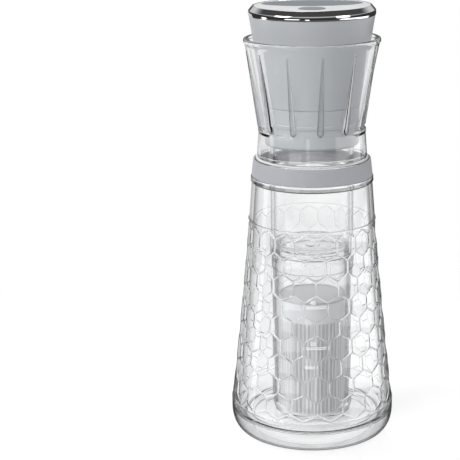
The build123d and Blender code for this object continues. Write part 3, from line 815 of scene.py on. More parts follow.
    def edging(self, skin: Skin, row: int, edge: float, up: int) -> None:
        """Add the plain stretch between the first or last row of facets and the ring beside it.

        Args:
            skin: The mesh to add to.
            row: The row's number.
            edge: Height of the ring.
            up: 1 where the stretch lies over the row, -1 where it lies under it.
        """
        height = self.first_row + row * self.pitch
        peaks = [height + up * self.side * (1 if (n + row) % 2 else 0.5)
                 for n in range(2 * self.facet_count + 1)]
        offsets = (*self.ridge_steps, self.ridge_width)
        rows: list[list[Vector]] = [[] for _ in range(2 * len(offsets) + 2)]
        for column in range(self.columns):
            step, share = divmod(column, self.edge_steps)
            share /= self.edge_steps
            peak = peaks[step] + (peaks[step + 1] - peaks[step]) * share
            middle = (peak + edge) / 2
            places = [(peak + up * d, self.crest(d)) for d in offsets]
            places += [(middle + side * up * self.edging_middle, 1.0) for side in (-1, 1)]
            places += [(edge - up * d, self.crest(d)) for d in reversed(offsets)]
            for line, (z, sunk) in zip(rows, places):
                line.append(self.point(step + share, z, self.ridge * sunk))
        skin.sheet(rows)

    def ring(self, radius: float, height: float) -> list[Vector]:
        """Place the points of one ring of the carafe's mesh."""
        return [self.point(n / self.edge_steps, height, radius=radius) for n in range(self.columns)]

    def turned(self, skin: Skin, profile: Profile, finish: CarafeFinish = CarafeFinish.CLEAR) -> None:
        """Add a stretch that is turned about the axis."""
        skin.sheet([self.ring(r, z) for r, z in profile], finish=finish)

    def foot(self) -> Profile:
        """Outline the underside.

        Returns:
            (radius, height) points from the recess out over the foot ring.
        """
        ring = self.foot_radius - self.foot_ring
        return rounded([(ring - self.recess_rim, self.foot_recess),
                        (ring, self.foot_recess, self.foot_round), (ring, 0, self.fine_round),
                        (self.foot_radius - self.foot_flat, 0), (self.foot_radius, 0)])

    def base(self) -> Profile:
        """Outline the thick base.

        Returns:
            (radius, height) points from the foot ring up to the facets.
        """
        bulge = quarter_ellipse((self.foot_radius, 0), (self.base_radius, self.base_bulge))
        step = self.facet_low_radius + self.facet_step
        return bulge + rounded([(self.base_radius, self.base_bulge + self.bulge_flat),
                                (step, self.facet_bottom, self.step_round),
                                (self.facet_low_radius, self.facet_bottom)])

    def shoulder_ring(self) -> Profile:
        """Outline the raised ring above the facets.

        Returns:
            (radius, height) points, upwards.
        """
        step = self.shoulder_radius + self.ring_stand
        top = self.facet_top + self.ring_height
        return rounded([(self.shoulder_radius, self.facet_top), (step, self.facet_top, self.ring_round),
                        (step, top, self.ring_round), (self.shoulder_radius - self.ring_root, top)])

    @property
    def lip_edge(self) -> tuple[float, float]:
        """Radius and height where the lip's clear top edge starts."""
        return self.lip_radius - self.lip_edge_taper, self.band_base - self.lip_clear

    def lip(self) -> Profile:
        """Outline the lip under the neck band.

        Returns:
            (radius, height) points up to the lip's clear top edge.
        """
        return rounded([(self.neck_radius, self.lip_base),
                        (self.lip_radius, self.lip_base + self.lip_chamfer, self.lip_round),
                        self.lip_edge])

    def collar(self) -> Profile:
        """Outline the collar that carries the neck band.

        Returns:
            (radius, height) points from the lip's clear top edge up over the mouth.
        """
        return rounded([self.lip_edge,
                        (self.lip_radius - self.lip_taper, self.band_base, self.rim_round),
                        (self.mouth_radius, self.band_base),
                        (self.mouth_radius, self.height, self.rim_round),
                        (self.mouth_bore, self.height)])

    def inside(self) -> Profile:
        """Outline the smooth inner wall and the floor.

        Returns:
            (radius, height) points from the rim down to the middle of the floor.
        """
        neck = [(self.mouth_bore, self.height), (self.mouth_bore, self.band_base, self.neck_round),
                (self.neck_radius - self.wall, self.lip_base, self.shoulder_round)]
        low, high = self.facet_bottom, self.facet_top
        stretch = [high - (high - low) * n / self.wall_steps for n in range(self.wall_steps + 1)]
        walls = [(self.wall_radius(z) - self.wall, z) for z in stretch]
        corner = self.base_radius - self.wall
        floor = quarter_ellipse((corner - self.floor_corner_width, self.floor),
                                (corner, self.floor + self.floor_corner))
        sill, top = self.sill_radius, self.floor + self.sill_height
        bead = rounded([(sill, self.floor), (sill - self.sill_taper, top, self.fine_round),
                        (sill - self.sill_width, top, self.sill_round),
                        (sill - self.sill_width - self.sill_foot, self.floor)])
        middle = (self.floor_middle, self.floor)
        return rounded(neck + [walls[0]])[:-1] + walls + floor[::-1] + bead + [middle]

    def build(self, model: Model) -> None:
        """Make the carafe's mesh and dress the band.

        Args:
            model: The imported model.
        """
        skin = Skin()
        for row in range(self.facet_rows):
            for n in range(self.facet_count):
                self.facet(skin, 2 * n + (row + 1) % 2, self.first_row + row * self.pitch)
        self.edging(skin, self.facet_rows - 1, self.facet_top, 1)
        self.edging(skin, 0, self.facet_bottom, -1)
        foot, ring, inside = self.foot(), self.shoulder_ring(), self.inside()
        self.turned(skin, foot)
        self.turned(skin, self.base(), CarafeFinish.THICK)
        self.turned(skin, ring, CarafeFinish.THICK)
        self.turned(skin, [ring[-1], (self.neck_radius, self.lip_base)])
        self.turned(skin, self.lip(), CarafeFinish.SHADE)
        self.turned(skin, self.collar())
        self.turned(skin, inside)
        for radius, height in (foot[0], inside[-1]):
            skin.fan(self.ring(radius, height), Vector((0, 0, height)))
        glass = skin.make("faceted_carafe", self.finish.material("clear_carafe"),
                          self.thick.material("clear_base"), self.cut.material("clear_facets"),
                          self.shade.material("clear_lip"))
        glass.visible_shadow = False
        model.stand_in(glass, "carafe_body", "carafe_clear")
        model.dress(self.band.material("neck_band_silicone"), "neck_band")


# --------------------------------------------------------------------------------------------- funnel
class FunnelFinish(IntEnum):
    """Which of the funnel's finishes a face takes."""

    CLEAR = 0
    RIB = 1
    RIM = 2


@dataclass
class Funnel:
    """Clear ribbed funnel that nests in the carafe's mouth, with its gasket. Sizes in millimetres."""

    spigot_base: float = 192.0
    spigot_radius: float = 38.2
    spigot_bore: float = 35.8
    shoulder: float = 203.8
    shoulder_radius: float = 39.0
    neck_wall: float = 2.0
    throat: float = 224.0
    throat_radius: float = 33.6
    throat_length: float = 4.0
    throat_round: float = 0.6
    ledge: float = 3.0
    ledge_round: float = 1.0
    step_proud: float = 0.4
    spigot_round: float = 0.8
    soft_round: float = 0.4
    wall_low: float = 35.15
    wall_high: float = 47.0
    wall_play: float = 0.3
    rim_radius: float = 47.9
    rim_bore: float = 44.7
    rim_top: float = 287.5
    rim_height: float = 3.4
    rim_step: float = 1.0
    rim_round: float = 1.2
    round_steps: int = 6
    rib_count: int = 12
    rib_turn: float = 9.3
    rib_foot: float = 226.2
    rib_tip: float = 279.5
    foot_round: float = 2.2
    foot_height: float = 3.0
    foot_gap: float = 0.02
    foot_steps: tuple[float, ...] = (0.97, 0.86, 0.7, 0.5, 0.25)
    tip_height: float = 0.3
    tip_gap: float = 0.5
    foot_width: float = 2.3
    tip_width: float = 0.75
    least_width: float = 0.6
    shaft_steps: int = 22
    rib_power: float = 0.6
    rib_spread: tuple[float, ...] = (-1.15, -1.0, -0.985, -0.95, -0.87, -0.74, -0.55, -0.3)
    plain_columns: int = 6
    finish: ClearPlastic = ClearPlastic(
        tint=(0.94, 0.945, 0.95), veil=(0.96, 0.97, 0.98), edge_start=0.7, ripple=0.01,
        ripple_depth=0.000004)
    # painted shade: the ribs are tinted darker than the wall, greyer at a slant and dark edge on
    rib_shade: ClearPlastic = ClearPlastic(
        tint=(0.62, 0.63, 0.64), veil=(0.45, 0.46, 0.47), veil_start=0.1, edge_start=0.3, edge_end=0.85,
        ripple_depth=0.000002)
    lip: ClearPlastic = ClearPlastic(edge_start=0.72, ripple_depth=0.000002)
    gasket: Silicone = Silicone((0.75, 0.76, 0.77), 0.35)
    dark_gasket: Silicone = Silicone((0.2, 0.205, 0.21), 0.4)

    @property
    def rim_low(self) -> float:
        """Height of the rim's lower edge."""
        return self.rim_top - self.rim_height

    @property
    def rib_pitch(self) -> float:
        """Angle from one rib to the next."""
        return 2 * math.pi / self.rib_count

    def wall_radius(self, height: float) -> float:
        """Return the wall's outside radius between the ribs at a height."""
        slope = (self.wall_high - self.wall_low) / (self.rim_low - self.throat)
        return self.wall_low + slope * (height - self.throat)

    def rib_size(self, height: float) -> tuple[float, float]:
        """Find how large a rib is.

        Args:
            height: Height over the carafe's foot.

        Returns:
            Half its width, and how far it stands off the wall, which is 0 past its ends.
        """
        share = min(1.0, max(0.0, (height - self.rib_foot) / (self.rib_tip - self.rib_foot)))
        width = self.foot_width + (self.tip_width - self.foot_width) * share
        stand = self.foot_height + (self.tip_height - self.foot_height) * share
        if height > self.rib_tip or height < self.rib_foot - self.foot_round:
            return width, 0.0
        below = max(0.0, self.rib_foot - height) / self.foot_round
        end = math.sqrt(max(0.0, 1 - below ** 2))
        return max(self.least_width, width * end), stand * end

    def row(self, radius: float, height: float, ribbed: bool = False) -> list[Vector]:
        """Place the points of one ring of the funnel's mesh.

        Args:
            radius: The ring's radius between the ribs.
            height: Its height.
            ribbed: Whether ribs lift it.

        Returns:
            The points, once round.
        """
        width, stand = self.rib_size(height)
        spread = (*self.rib_spread, 0.0, *(-s for s in reversed(self.rib_spread)))
        margin = spread[-1] * width / radius
        gap = (self.rib_pitch - 2 * margin) / (self.plain_columns + 1)
        points = []
        for n in range(self.rib_count):
            middle = math.radians(self.rib_turn) + n * self.rib_pitch
            places = [(middle + s * width / radius, max(0.0, 1 - s * s) ** self.rib_power) for s in spread]
            places += [(middle + margin + gap * (k + 1), 0.0) for k in range(self.plain_columns)]
            points += [around(radius + (stand * share if ribbed else 0.0), angle, height)
                       for angle, share in places]
        return points

    def wall_heights(self) -> list[float]:
        """Share out the rings of the wall's mesh.

        Returns:
            Their heights, close together round the ribs' feet.
        """
        foot = [self.rib_foot - self.foot_round * share for share in self.foot_steps]
        shaft = [self.rib_foot + (self.rib_tip - self.rib_foot) * n / self.shaft_steps
                 for n in range(self.shaft_steps + 1)]
        tip = [self.rib_tip + self.tip_gap, (self.rib_tip + self.rim_low) / 2]
        return [self.throat + self.foot_gap] + foot + shaft + tip

    def collar(self) -> bpy.types.Object:
        """Make the spigot, neck, step ring, ribbed wall and rim in one piece.

        Returns:
            The new piece.
        """
        neck = self.spigot_bore + self.neck_wall
        shoulder_top = self.shoulder + self.neck_wall
        low = rounded([(self.spigot_bore, self.spigot_base),
                       (self.spigot_radius, self.spigot_base, self.spigot_round),
                       (self.spigot_radius, self.shoulder),
                       (self.shoulder_radius, self.shoulder, self.spigot_round),
                       (neck, self.throat - self.ledge),
                       (neck + self.step_proud, self.throat, self.throat_round),
                       (self.wall_low, self.throat)], self.round_steps)
        high = rounded([(self.wall_high, self.rim_low),
                        (self.rim_radius, self.rim_low + self.rim_step, self.soft_round),
                        (self.rim_radius, self.rim_top, self.rim_round), (self.rim_bore, self.rim_top),
                        (self.throat_radius, self.throat + self.throat_length),
                        (self.throat_radius, self.throat, self.throat_round),
                        (self.spigot_bore, self.throat - self.ledge, self.ledge_round),
                        (self.shoulder_radius - self.neck_wall, shoulder_top, self.ledge_round),
                        (self.spigot_bore, shoulder_top, self.soft_round),
                        (self.spigot_bore, self.spigot_base)], self.round_steps)
        skin = Skin()
        skin.sheet([self.row(r, z) for r, z in low]
                   + [self.row(self.wall_radius(z), z, True) for z in self.wall_heights()]
                   + [self.row(r, z) for r, z in high])
        collar = skin.make("ribbed_funnel", self.finish.material("clear_funnel"),
                           self.rib_shade.material("clear_ribs_painted_shade"), self.lip.material("clear_rim"))
        for face in collar.data.polygons:
            x, y, z = face.center / MM
            if z > self.rim_low:
                face.material_index = FunnelFinish.RIM
            elif self.on_rib(math.atan2(x, -y), math.hypot(x, y), z):
                face.material_index = FunnelFinish.RIB
        return collar

    def on_rib(self, angle: float, radius: float, height: float) -> bool:
        """Tell whether a face belongs to a rib.

        Args:
            angle: Its way round from the front.
            radius: Its distance from the axis.
            height: Its height.

        Returns:
            True where it stands off the wall within a rib's width.
        """
        width, stand = self.rib_size(height)
        half = self.rib_pitch / 2
        aside = abs((angle - math.radians(self.rib_turn) + half) % self.rib_pitch - half)
        return stand > 0 and aside * radius < width and radius > self.wall_radius(height) - self.wall_play

    def build(self, model: Model) -> None:
        """Make the funnel and dress its gaskets.

        Args:
            model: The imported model.
        """
        collar = self.collar()
        collar.visible_shadow = False
        model.stand_in(collar, "funnel_collar", "funnel_clear")
        model.dress(self.gasket.material("gasket_silicone"), "funnel_gasket", "tube_seal")
        model.dress(self.dark_gasket.material("dark_silicone"), "filter_seal")
        model.clear("funnel_gasket")


# ------------------------------------------------------------------------------------------ pump head
@dataclass
class PumpHead:
    """Grey pump head: housings, chrome ring, white plate, oval inlay, button and port flap.

    Sizes are in millimetres, and the ring's heights count down from its top.
    """

    ring_columns: int = 288
    ring_radius: float = 44.4
    ring_top_radius: float = 41.3
    ring_bevel: float = 3.2
    ring_band: float = 3.5
    ring_crown: float = 0.35
    ring_lip: float = 0.7
    ring_ledge: float = 1.8
    ring_round: float = 0.3
    ring_shoulder_round: float = 0.8
    ring_crown_round: float = 7.0
    ring_steps: int = 10
    plate_sink: float = 0.3
    plate_thickness: float = 1.4
    shell: MouldedPlastic = MouldedPlastic((0.4, 0.415, 0.43))
    seal: Silicone = Silicone((0.43, 0.45, 0.47))
    trim: Plating = Plating((0.6, 0.61, 0.62), 0.04)
    plate: MouldedPlastic = MouldedPlastic((0.92, 0.92, 0.92), 0.12, Grain.POLISHED, 0.01)
    inlay: MouldedPlastic = MouldedPlastic((0.17, 0.185, 0.2), 0.5, gloss=0.15)
    button: MouldedPlastic = MouldedPlastic((0.19, 0.205, 0.22), 0.45, gloss=0.2)

    def ring(self, material: bpy.types.Material) -> bpy.types.Object:
        """Make the chrome ring, with a finely rounded band and bevel.

        Args:
            material: Its finish.

        Returns:
            The new piece.
        """
        low, high = [corner.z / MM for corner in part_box("trim_ring")]
        band_top = high - self.ring_bevel
        band_low = band_top - self.ring_band
        inner = self.ring_top_radius - self.ring_lip
        ledge = inner - self.ring_ledge
        edge = self.ring_radius - self.ring_crown
        plate_base = high - self.plate_sink - self.plate_thickness
        profile = rounded([(ledge, plate_base), (ledge, low), (inner, low), (inner, band_low),
                           (edge, band_low, self.ring_round),
                           (self.ring_radius, band_top - self.ring_band / 2, self.ring_crown_round),
                           (edge, band_top, self.ring_shoulder_round),
                           (self.ring_top_radius, high, self.ring_round), (inner, high),
                           (inner, plate_base), (ledge, plate_base)], self.ring_steps)
        skin = Skin()
        turns = [2 * math.pi * n / self.ring_columns for n in range(self.ring_columns)]
        skin.sheet([[around(r, t, z) for t in turns] for r, z in profile])
        return skin.make("crowned_ring", material)

    def build(self, model: Model) -> None:
        """Make the chrome ring and dress the head's outer pieces.

        Args:
            model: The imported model.
        """
        model.dress(self.shell.material("shell_plastic"), "head_housing", "head_lower_housing")
        model.dress(self.seal.material("seal_silicone"), "head_seal", "port_flap", "pump_mount",
                    "pump_diaphragm")
        model.stand_in(self.ring(self.trim.material("trim_chrome")), "trim_ring", "chrome")
        model.dress(self.plate.material("plate_plastic"), "top_plate")
        model.dress(self.inlay.material("inlay_plastic"), "top_inlay")
        model.dress(self.button.material("button_plastic"), "power_button")


@dataclass
class Works:
    """What the head holds: board, switch, port, cell, motor, pump, valve, hose and screws."""

    board: SolderMask = SolderMask()
    steel: Plating = Plating((0.6, 0.6, 0.61), 0.2, Grain.BRUSHED)
    moulding: MouldedPlastic = MouldedPlastic((0.05, 0.05, 0.055), 0.4)
    switch: MouldedPlastic = MouldedPlastic((0.03, 0.03, 0.03), 0.2, Grain.POLISHED)
    sleeve: MouldedPlastic = MouldedPlastic((0.06, 0.17, 0.42), 0.18, Grain.POLISHED)
    wire: Silicone = Silicone((0.45, 0.04, 0.04), 0.4, 0.0)
    hose: Silicone = Silicone((0.7, 0.71, 0.72), 0.3, 0.0)

    def build(self, model: Model) -> None:
        """Dress the head's inner pieces.

        Args:
            model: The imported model.
        """
        model.dress(self.board.material("board_lacquer"), "circuit_board")
        model.dress(self.steel.material("works_steel"), "case_screws", "board_screws",
                    "carrier_screws", "usb_port", "pump_motor", "motor_shaft", "vent_valve")
        model.dress(self.moulding.material("works_moulding"), "battery_cradle", "carrier_plate",
                    "pump_housing", "pump_cam", "air_nozzle")
        model.dress(self.switch.material("switch_plastic"), "tactile_switch")
        model.dress(self.sleeve.material("cell_sleeve"), "battery_cell")
        model.dress(self.wire.material("wire_insulation"), "wires")
        model.dress(self.hose.material("hose_silicone"), "air_hose")


# --------------------------------------------------------------------------------- brew tube and filter
@dataclass
class BrewTube:
    """Clear tube that hangs from the head."""

    finish: ClearPlastic = ClearPlastic(
        tint=(1.0, 1.0, 1.0), veil_start=0.5, edge_start=0.55, ripple=0.02, ripple_depth=0.000004)

    def build(self, model: Model) -> None:
        """Dress the tube."""
        model.dress(self.finish.material("clear_tube"), "brew_tube")
        model.clear("brew_tube")


@dataclass
class Filter:
    """Clear filter cup with its lid, pleated steel basket and level marks. Sizes in millimetres."""

    sleeve_radius: float = 24.6
    sleeve_wall: float = 0.45
    sleeve_crease: float = 60.0
    pleat_depth: float = 0.34
    pleat_steps: int = 12
    line_heights: tuple[float, ...] = (99.8, 69.0, 54.5)
    line_sweeps: tuple[float, ...] = (32.0, 32.0, 17.0)
    line_start: float = -9.5
    line_steps: int = 16
    line_width: float = 0.7
    line_pitch: float = 1.4
    line_relief: float = 0.24
    number_size: float = 4.2
    number_weight: float = 0.13
    number_lift: float = 2.3
    number_relief: float = 0.12
    numbers: tuple[tuple[str, float], ...] = (("40", 99.8), ("20", 69.0))
    number_angle: float = 1.0
    steel: WovenSteel = WovenSteel(pleats=48)
    # painted shade: a darker copy of the woven steel, for the basket's floor and lid, to offset the strong
    # top light on the lid
    shaded_cover: WovenSteel = WovenSteel((0.5, 0.5, 0.51), (0.34, 0.34, 0.35), 0.0009)
    cup: ClearPlastic = ClearPlastic(
        tint=(1.0, 1.0, 1.0), veil=(0.85, 0.86, 0.87), edge_start=0.4, edge_end=0.95, ripple=0.02,
        ripple_depth=0.000003)
    # painted shade and light: the lid is tinted darker where it is seen face on and lighter at a slant, so
    # its ring walls show grey
    lid: ClearPlastic = ClearPlastic(
        tint=(0.88, 0.885, 0.89), veil=(0.98, 0.985, 0.99), edge_start=0.72, ripple_depth=0.000002)
    frost: MouldedPlastic = MouldedPlastic((0.56, 0.57, 0.58), 0.3, Grain.POLISHED, 0.12)
    ink: MouldedPlastic = MouldedPlastic((0.9, 0.9, 0.9), 0.4)

    def sleeve(self, material: bpy.types.Material) -> bpy.types.Object:
        """Make the pleated sleeve in the place of the plain one.

        Args:
            material: Its finish.

        Returns:
            The new piece.
        """
        low, high = [corner.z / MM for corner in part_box("basket_mesh")]
        columns = self.steel.pleats * self.pleat_steps
        pleats = [self.pleat_depth * (0.5 - 0.5 * math.cos(2 * math.pi * n / self.pleat_steps))
                  for n in range(columns)]
        wall = self.sleeve_wall - self.pleat_depth
        skin = Skin()
        skin.sheet([[around(self.sleeve_radius - inset - pleat, 2 * math.pi * n / columns, height)
                     for n, pleat in enumerate(pleats)]
                    for inset, height in ((0, low), (0, high), (wall, high), (wall, low), (0, low))])
        return skin.make("pleated_sleeve", material, crease=self.sleeve_crease)

    def lines(self, material: bpy.types.Material) -> bpy.types.Object:
        """Make the pairs of raised level lines in the place of the plain ones.

        Args:
            material: Their finish.

        Returns:
            The new piece.
        """
        outer = -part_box("level_marks")[0].y / MM
        inner = outer - self.line_relief
        skin = Skin()
        for middle, sweep in zip(self.line_heights, self.line_sweeps):
            angles = [math.radians(self.line_start + sweep * n / self.line_steps)
                      for n in range(self.line_steps + 1)]
            for low in (middle, middle - self.line_pitch):
                high = low + self.line_width
                loop = [(inner, low), (outer, low), (outer, high), (inner, high), (inner, low)]
                rows = [[around(r, t, z) for t in angles] for r, z in loop]
                skin.sheet(rows, closed=False)
                for end in (0, -1):
                    skin.sheet([[rows[0][end], rows[1][end]], [rows[3][end], rows[2][end]]], closed=False)
        return skin.make("level_lines", material)

    def number(self, text: str, height: float, material: bpy.types.Material) -> bpy.types.Object:
        """Make a number that stands on the cup's wall.

        Args:
            text: The number.
            height: Height of the level line that it belongs to.
            material: Its finish.

        Returns:
            The new piece.
        """
        curve = bpy.data.curves.new("number", "FONT")
        curve.body = text
        curve.size = self.number_size * MM
        curve.extrude = self.number_relief * MM / 2
        curve.offset = self.number_weight * MM
        curve.align_x = "CENTER"
        lettering = bpy.data.objects.new("number", curve)
        bpy.context.scene.collection.objects.link(lettering)
        bpy.context.view_layer.update()
        solid = lettering.evaluated_get(bpy.context.evaluated_depsgraph_get())
        mesh = bpy.data.meshes.new_from_object(solid)
        bpy.data.objects.remove(lettering)
        bottom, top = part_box("level_marks")
        radius = max(-bottom.y, top.x) - self.number_relief * MM / 2
        for vertex in mesh.vertices:
            x, y, z = vertex.co
            angle = math.radians(self.number_angle) + x / radius
            vertex.co = around(radius + z, angle, (height + self.number_lift) * MM + y)
        mesh.materials.clear()
        mesh.materials.append(material)
        piece = bpy.data.objects.new(f"level_number_{text}", mesh)
        bpy.context.scene.collection.objects.link(piece)
        return piece

    def build(self, model: Model) -> None:
        """Dress the filter and add its sleeve, level lines and numbers.

        Args:
            model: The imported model.
        """
        model.dress(self.cup.material("clear_cup"), "filter_cup")
        model.dress(self.lid.material("clear_lid"), "filter_lid")
        model.clear("filter_cup", "filter_lid")
        model.dress(self.frost.material("frosted_frame"), "basket_frame")
        woven = self.steel.material("woven_steel")
        model.dress(self.shaded_cover.material("cover_steel"), "basket_floor", "basket_lid_rim",
                    "basket_lid_mesh")
        model.stand_in(self.sleeve(woven), "basket_mesh", "mesh_steel")
        ink = self.ink.material("level_ink")
        model.stand_in(self.lines(ink), "level_marks", "mark_white")
        for text, height in self.numbers:
            model.add(self.number(text, height, ink), "filter", "mark_white")


# --------------------------------------------------------------------------------------------- studio
@dataclass(frozen=True)
class Softbox:
    """A square or oblong lamp that points at the object. Sizes in metres."""

    name: str
    place: Place
    size: tuple[float, float]
    power: float

    def build(self, target: Vector) -> None:
        """Make the lamp.

        Args:
            target: The point that it is aimed at.
        """
        light = bpy.data.lights.new(self.name, "AREA")
        light.shape = "RECTANGLE"
        light.size, light.size_y = self.size
        light.energy = self.power
        lamp = bpy.data.objects.new(self.name, light)
        lamp.location = self.place
        lamp.rotation_euler = (target - Vector(self.place)).to_track_quat("-Z", "Y").to_euler()
        lamp.visible_camera = False
        lamp.visible_transmission = False
        bpy.context.scene.collection.objects.link(lamp)


@dataclass(frozen=True)
class Panel:
    """A bright panel that only mirrors show: degrees round from the front, and heights as sines."""

    azimuth: float
    width: float
    height: float
    tallness: float
    level: float


@dataclass
class Studio:
    """Floor, backdrop, lamps and camera. Sizes in metres."""

    camera_distance: float = 0.973
    camera_height: float = 0.4169
    camera_pitch: float = 15.38
    focal_pixels: float = 1399.0
    centre_pixel: float = 311.9
    sensor: float = 36.0
    floor_radius: float = 0.45
    floor_segments: int = 96
    floor_clear: float = 0.2
    floor_fade: float = 0.96
    floor_lift: float = 0.6
    paper: float = 0.88
    ambient: float = 0.48
    backdrop_dark: float = 0.9
    backdrop_scale: float = 7.0
    backdrop_range: Range = (0.35, 0.6)
    mirror_low: float = 0.05
    mirror_level: float = 0.85
    mirror_high: float = 0.09
    mirror_floor: float = 0.12
    mirror_rise: Range = (0.08, 0.25)
    mirror_fall: Range = (0.35, 0.6)
    mirror_ground: Range = (-0.35, -0.25)
    mirror_fade: Range = (0.12, 0.2)
    panel_core: float = 0.8
    first_bounce: float = 0.5
    clear_bounces: int = 28
    mirror_bounces: int = 8
    lamps: tuple[Softbox, ...] = (
        Softbox("key", (-1.25, -0.85, 1.0), (0.8, 0.9), 21.0),
        Softbox("fill", (1.4, -0.9, 0.7), (0.8, 0.8), 9.0),
        Softbox("top", (-0.2, 0.3, 1.7), (0.9, 0.9), 14.0),
    )
    panels: tuple[Panel, ...] = (
        Panel(88.0, 78.0, -0.26, 0.2, 1.7),
        Panel(-36.0, 30.0, -0.18, 0.14, 1.7),
        Panel(-8.0, 8.0, -0.26, 0.2, 1.6),
        Panel(-96.0, 14.0, -0.2, 0.22, 1.6),
        Panel(-105.0, 20.0, -0.5, 0.36, 1.8),
        Panel(-155.0, 40.0, -0.2, 0.3, 0.9),
    )

    def panel_share(self, tree: Nodes, panel: Panel, azimuth: bpy.types.NodeSocket,
                    height: bpy.types.NodeSocket) -> bpy.types.NodeSocket:
        """Return how brightly a panel shows in a direction.

        Args:
            tree: The node tree to add to.
            panel: The panel.
            azimuth: The direction's way round from the front.
            height: Its height as a sine.

        Returns:
            The brightness, which fades out at the panel's edges.
        """
        shares = []
        for value, middle, half in ((azimuth, math.radians(panel.azimuth), math.radians(panel.width / 2)),
                                    (height, panel.height, panel.tallness / 2)):
            away = tree.math("ABSOLUTE", tree.math("SUBTRACT", value, middle))
            shares.append(tree.ranged(away, panel.level, 0.0, half * self.panel_core, half))
        return tree.math("MULTIPLY", *shares)

    def reflected(self, tree: Nodes) -> bpy.types.NodeSocket:
        """Return the brightness of the dim studio with its bright panels, as metal and glass mirror it.

        Args:
            tree: The node tree to add to.

        Returns:
            The brightness: dim low down, bright half way up, a little darker overhead, and as dull
            as the floor underneath, with the panels on top.
        """
        way = tree.add("SeparateXYZ", {0: tree.add("TexCoord").outputs["Generated"]}).outputs
        azimuth = tree.math("ARCTAN2", way[0], tree.math("MULTIPLY", way[1], -1.0))
        rise = tree.ranged(way[2], self.mirror_low, self.mirror_level, *self.mirror_rise)
        fall = tree.ranged(way[2], 0.0, self.mirror_level - self.mirror_high, *self.mirror_fall)
        ground = tree.ranged(way[2], self.mirror_floor, 0.0, *self.mirror_ground)
        total = tree.math("ADD", tree.math("SUBTRACT", rise, fall), ground)
        for panel in self.panels:
            total = tree.math("ADD", total, self.panel_share(tree, panel, azimuth, way[2]))
        return total

    def world(self) -> None:
        """Make the backdrop: white behind glass, a dim studio with bright panels in mirrors, soft light."""
        world = bpy.data.worlds.new("studio")
        world.use_nodes = True
        bpy.context.scene.world = world
        tree = Nodes(world.node_tree)
        for node in list(tree.tree.nodes):
            tree.tree.nodes.remove(node)
        rays = tree.add("LightPath").outputs
        way = tree.add("TexCoord").outputs["Generated"]
        clouds = tree.add("TexNoise", {"Vector": way, "Scale": self.backdrop_scale, "Detail": 0.0})
        level = tree.ranged(clouds.outputs[0], self.backdrop_dark, 1.0, *self.backdrop_range)
        backdrop = tree.white("Background", tree.math("MAXIMUM", level, rays["Is Camera Ray"]))
        mirror = tree.white("Background", self.reflected(tree))
        light = tree.white("Background", self.ambient)
        shown = tree.mix(self.mirrored_share(tree, rays), backdrop, mirror)
        tree.add("OutputWorld", {"Surface": tree.mix(self.shown_share(tree, rays), light, shown)})

    @staticmethod
    def mirrored_share(tree: Nodes, rays: Any) -> bpy.types.NodeSocket:
        """Tell rays that glass or metal mirrors from all others."""
        return tree.math("SUBTRACT", rays["Is Glossy Ray"], rays["Is Transmission Ray"], use_clamp=True)

    def shown_share(self, tree: Nodes, rays: Any) -> bpy.types.NodeSocket:
        """Tell rays that are seen, straight or in glass and metal, from those that light a dull surface.

        Args:
            tree: The node tree to add to.
            rays: Outputs of its light path node.

        Returns:
            1 for a ray that is seen, and 0 for one that has left a dull surface.
        """
        straight = tree.math("MAXIMUM", rays["Is Camera Ray"], rays["Is Glossy Ray"])
        seen = tree.math("MAXIMUM", straight, rays["Is Transmission Ray"])
        return tree.math("MULTIPLY", seen, tree.math("LESS_THAN", rays["Diffuse Depth"], self.first_bounce))

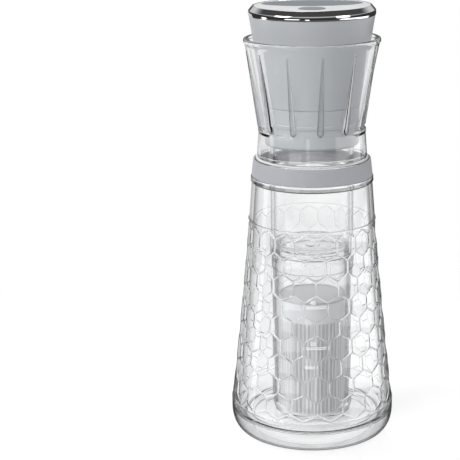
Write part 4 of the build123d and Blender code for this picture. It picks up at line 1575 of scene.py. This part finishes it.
    def floor(self) -> None:
        """Make the pale floor, which keeps the object's shadow and runs out into white.

        Rays that glass or metal mirrors see it dull near the object and not at all further out.
        """
        tree = Shader("floor_paper")
        tree.tree.nodes.remove(tree.shader)
        rays = tree.add("LightPath").outputs
        paper = tree.add("BsdfDiffuse", {"Color": (self.paper, self.paper, self.paper, 1)}).outputs[0]
        spread = tree.add("VectorMath", {0: tree.place()}, operation="LENGTH").outputs["Value"]
        edge = self.floor_radius * self.floor_fade
        lift = tree.ranged(spread, self.floor_lift, 1.0, self.floor_clear, edge)
        seen = tree.math("MULTIPLY", lift, self.shown_share(tree, rays))
        bright = tree.mix(seen, paper, tree.white("Emission", 1.0))
        dull = tree.white("Emission", tree.ranged(spread, self.mirror_floor, 0.0, *self.mirror_fade))
        faded = tree.ranged(spread, 0.0, 1.0, *self.mirror_fade)
        mirrored = tree.mix(faded, dull, tree.add("BsdfTransparent").outputs[0])
        mixed = tree.mix(self.mirrored_share(tree, rays), bright, mirrored)
        tree.feed(tree.tree.nodes["Material Output"].inputs["Surface"], mixed)
        mesh = bpy.data.meshes.new("floor")
        bm = bmesh.new()
        bmesh.ops.create_circle(bm, cap_ends=True, radius=self.floor_radius, segments=self.floor_segments)
        bm.to_mesh(mesh)
        bm.free()
        mesh.materials.append(tree.material)
        floor = bpy.data.objects.new("floor", mesh)
        bpy.context.scene.collection.objects.link(floor)
        floor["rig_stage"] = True

    def camera(self) -> None:
        """Make the camera, which looks past the object so that it stands right of the middle."""
        pitch = math.radians(self.camera_pitch)
        aside = (self.centre_pixel - PICTURE_SIDE / 2) / self.focal_pixels
        yaw = math.atan(aside / math.cos(pitch))
        roll = -math.atan(math.tan(yaw) * math.sin(pitch))
        data = bpy.data.cameras.new("camera")
        data.sensor_width = self.sensor
        data.lens = self.sensor * self.focal_pixels / PICTURE_SIDE
        eye = bpy.data.objects.new("camera", data)
        turn = Matrix.Rotation(yaw, 4, "Z") @ Matrix.Rotation(math.pi / 2 - pitch, 4, "X")
        place = Matrix.Translation((0, -self.camera_distance, self.camera_height))
        eye.matrix_world = place @ turn @ Matrix.Rotation(roll, 4, "Z")
        bpy.context.scene.collection.objects.link(eye)
        bpy.context.scene.camera = eye

    def build(self) -> None:
        """Make everything round the object."""
        scene = bpy.context.scene
        scene.view_settings.view_transform = "Standard"
        scene.cycles.max_bounces = self.clear_bounces
        scene.cycles.transmission_bounces = self.clear_bounces
        scene.cycles.glossy_bounces = self.mirror_bounces
        self.world()
        self.floor()
        low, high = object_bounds()
        for lamp in self.lamps:
            lamp.build((low + high) / 2)
        self.camera()
        log.info("made the studio with %d lamps", len(self.lamps))


def main() -> None:
    """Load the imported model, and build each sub-assembly on it."""
    logging.basicConfig(level=logging.INFO, format="%(name)s: %(message)s")
    model = Model(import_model())
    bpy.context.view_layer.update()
    Studio().build()
    Carafe().build(model)
    Funnel().build(model)
    PumpHead().build(model)
    Works().build(model)
    BrewTube().build(model)
    Filter().build(model)


if __name__ == "__main__":
    main()
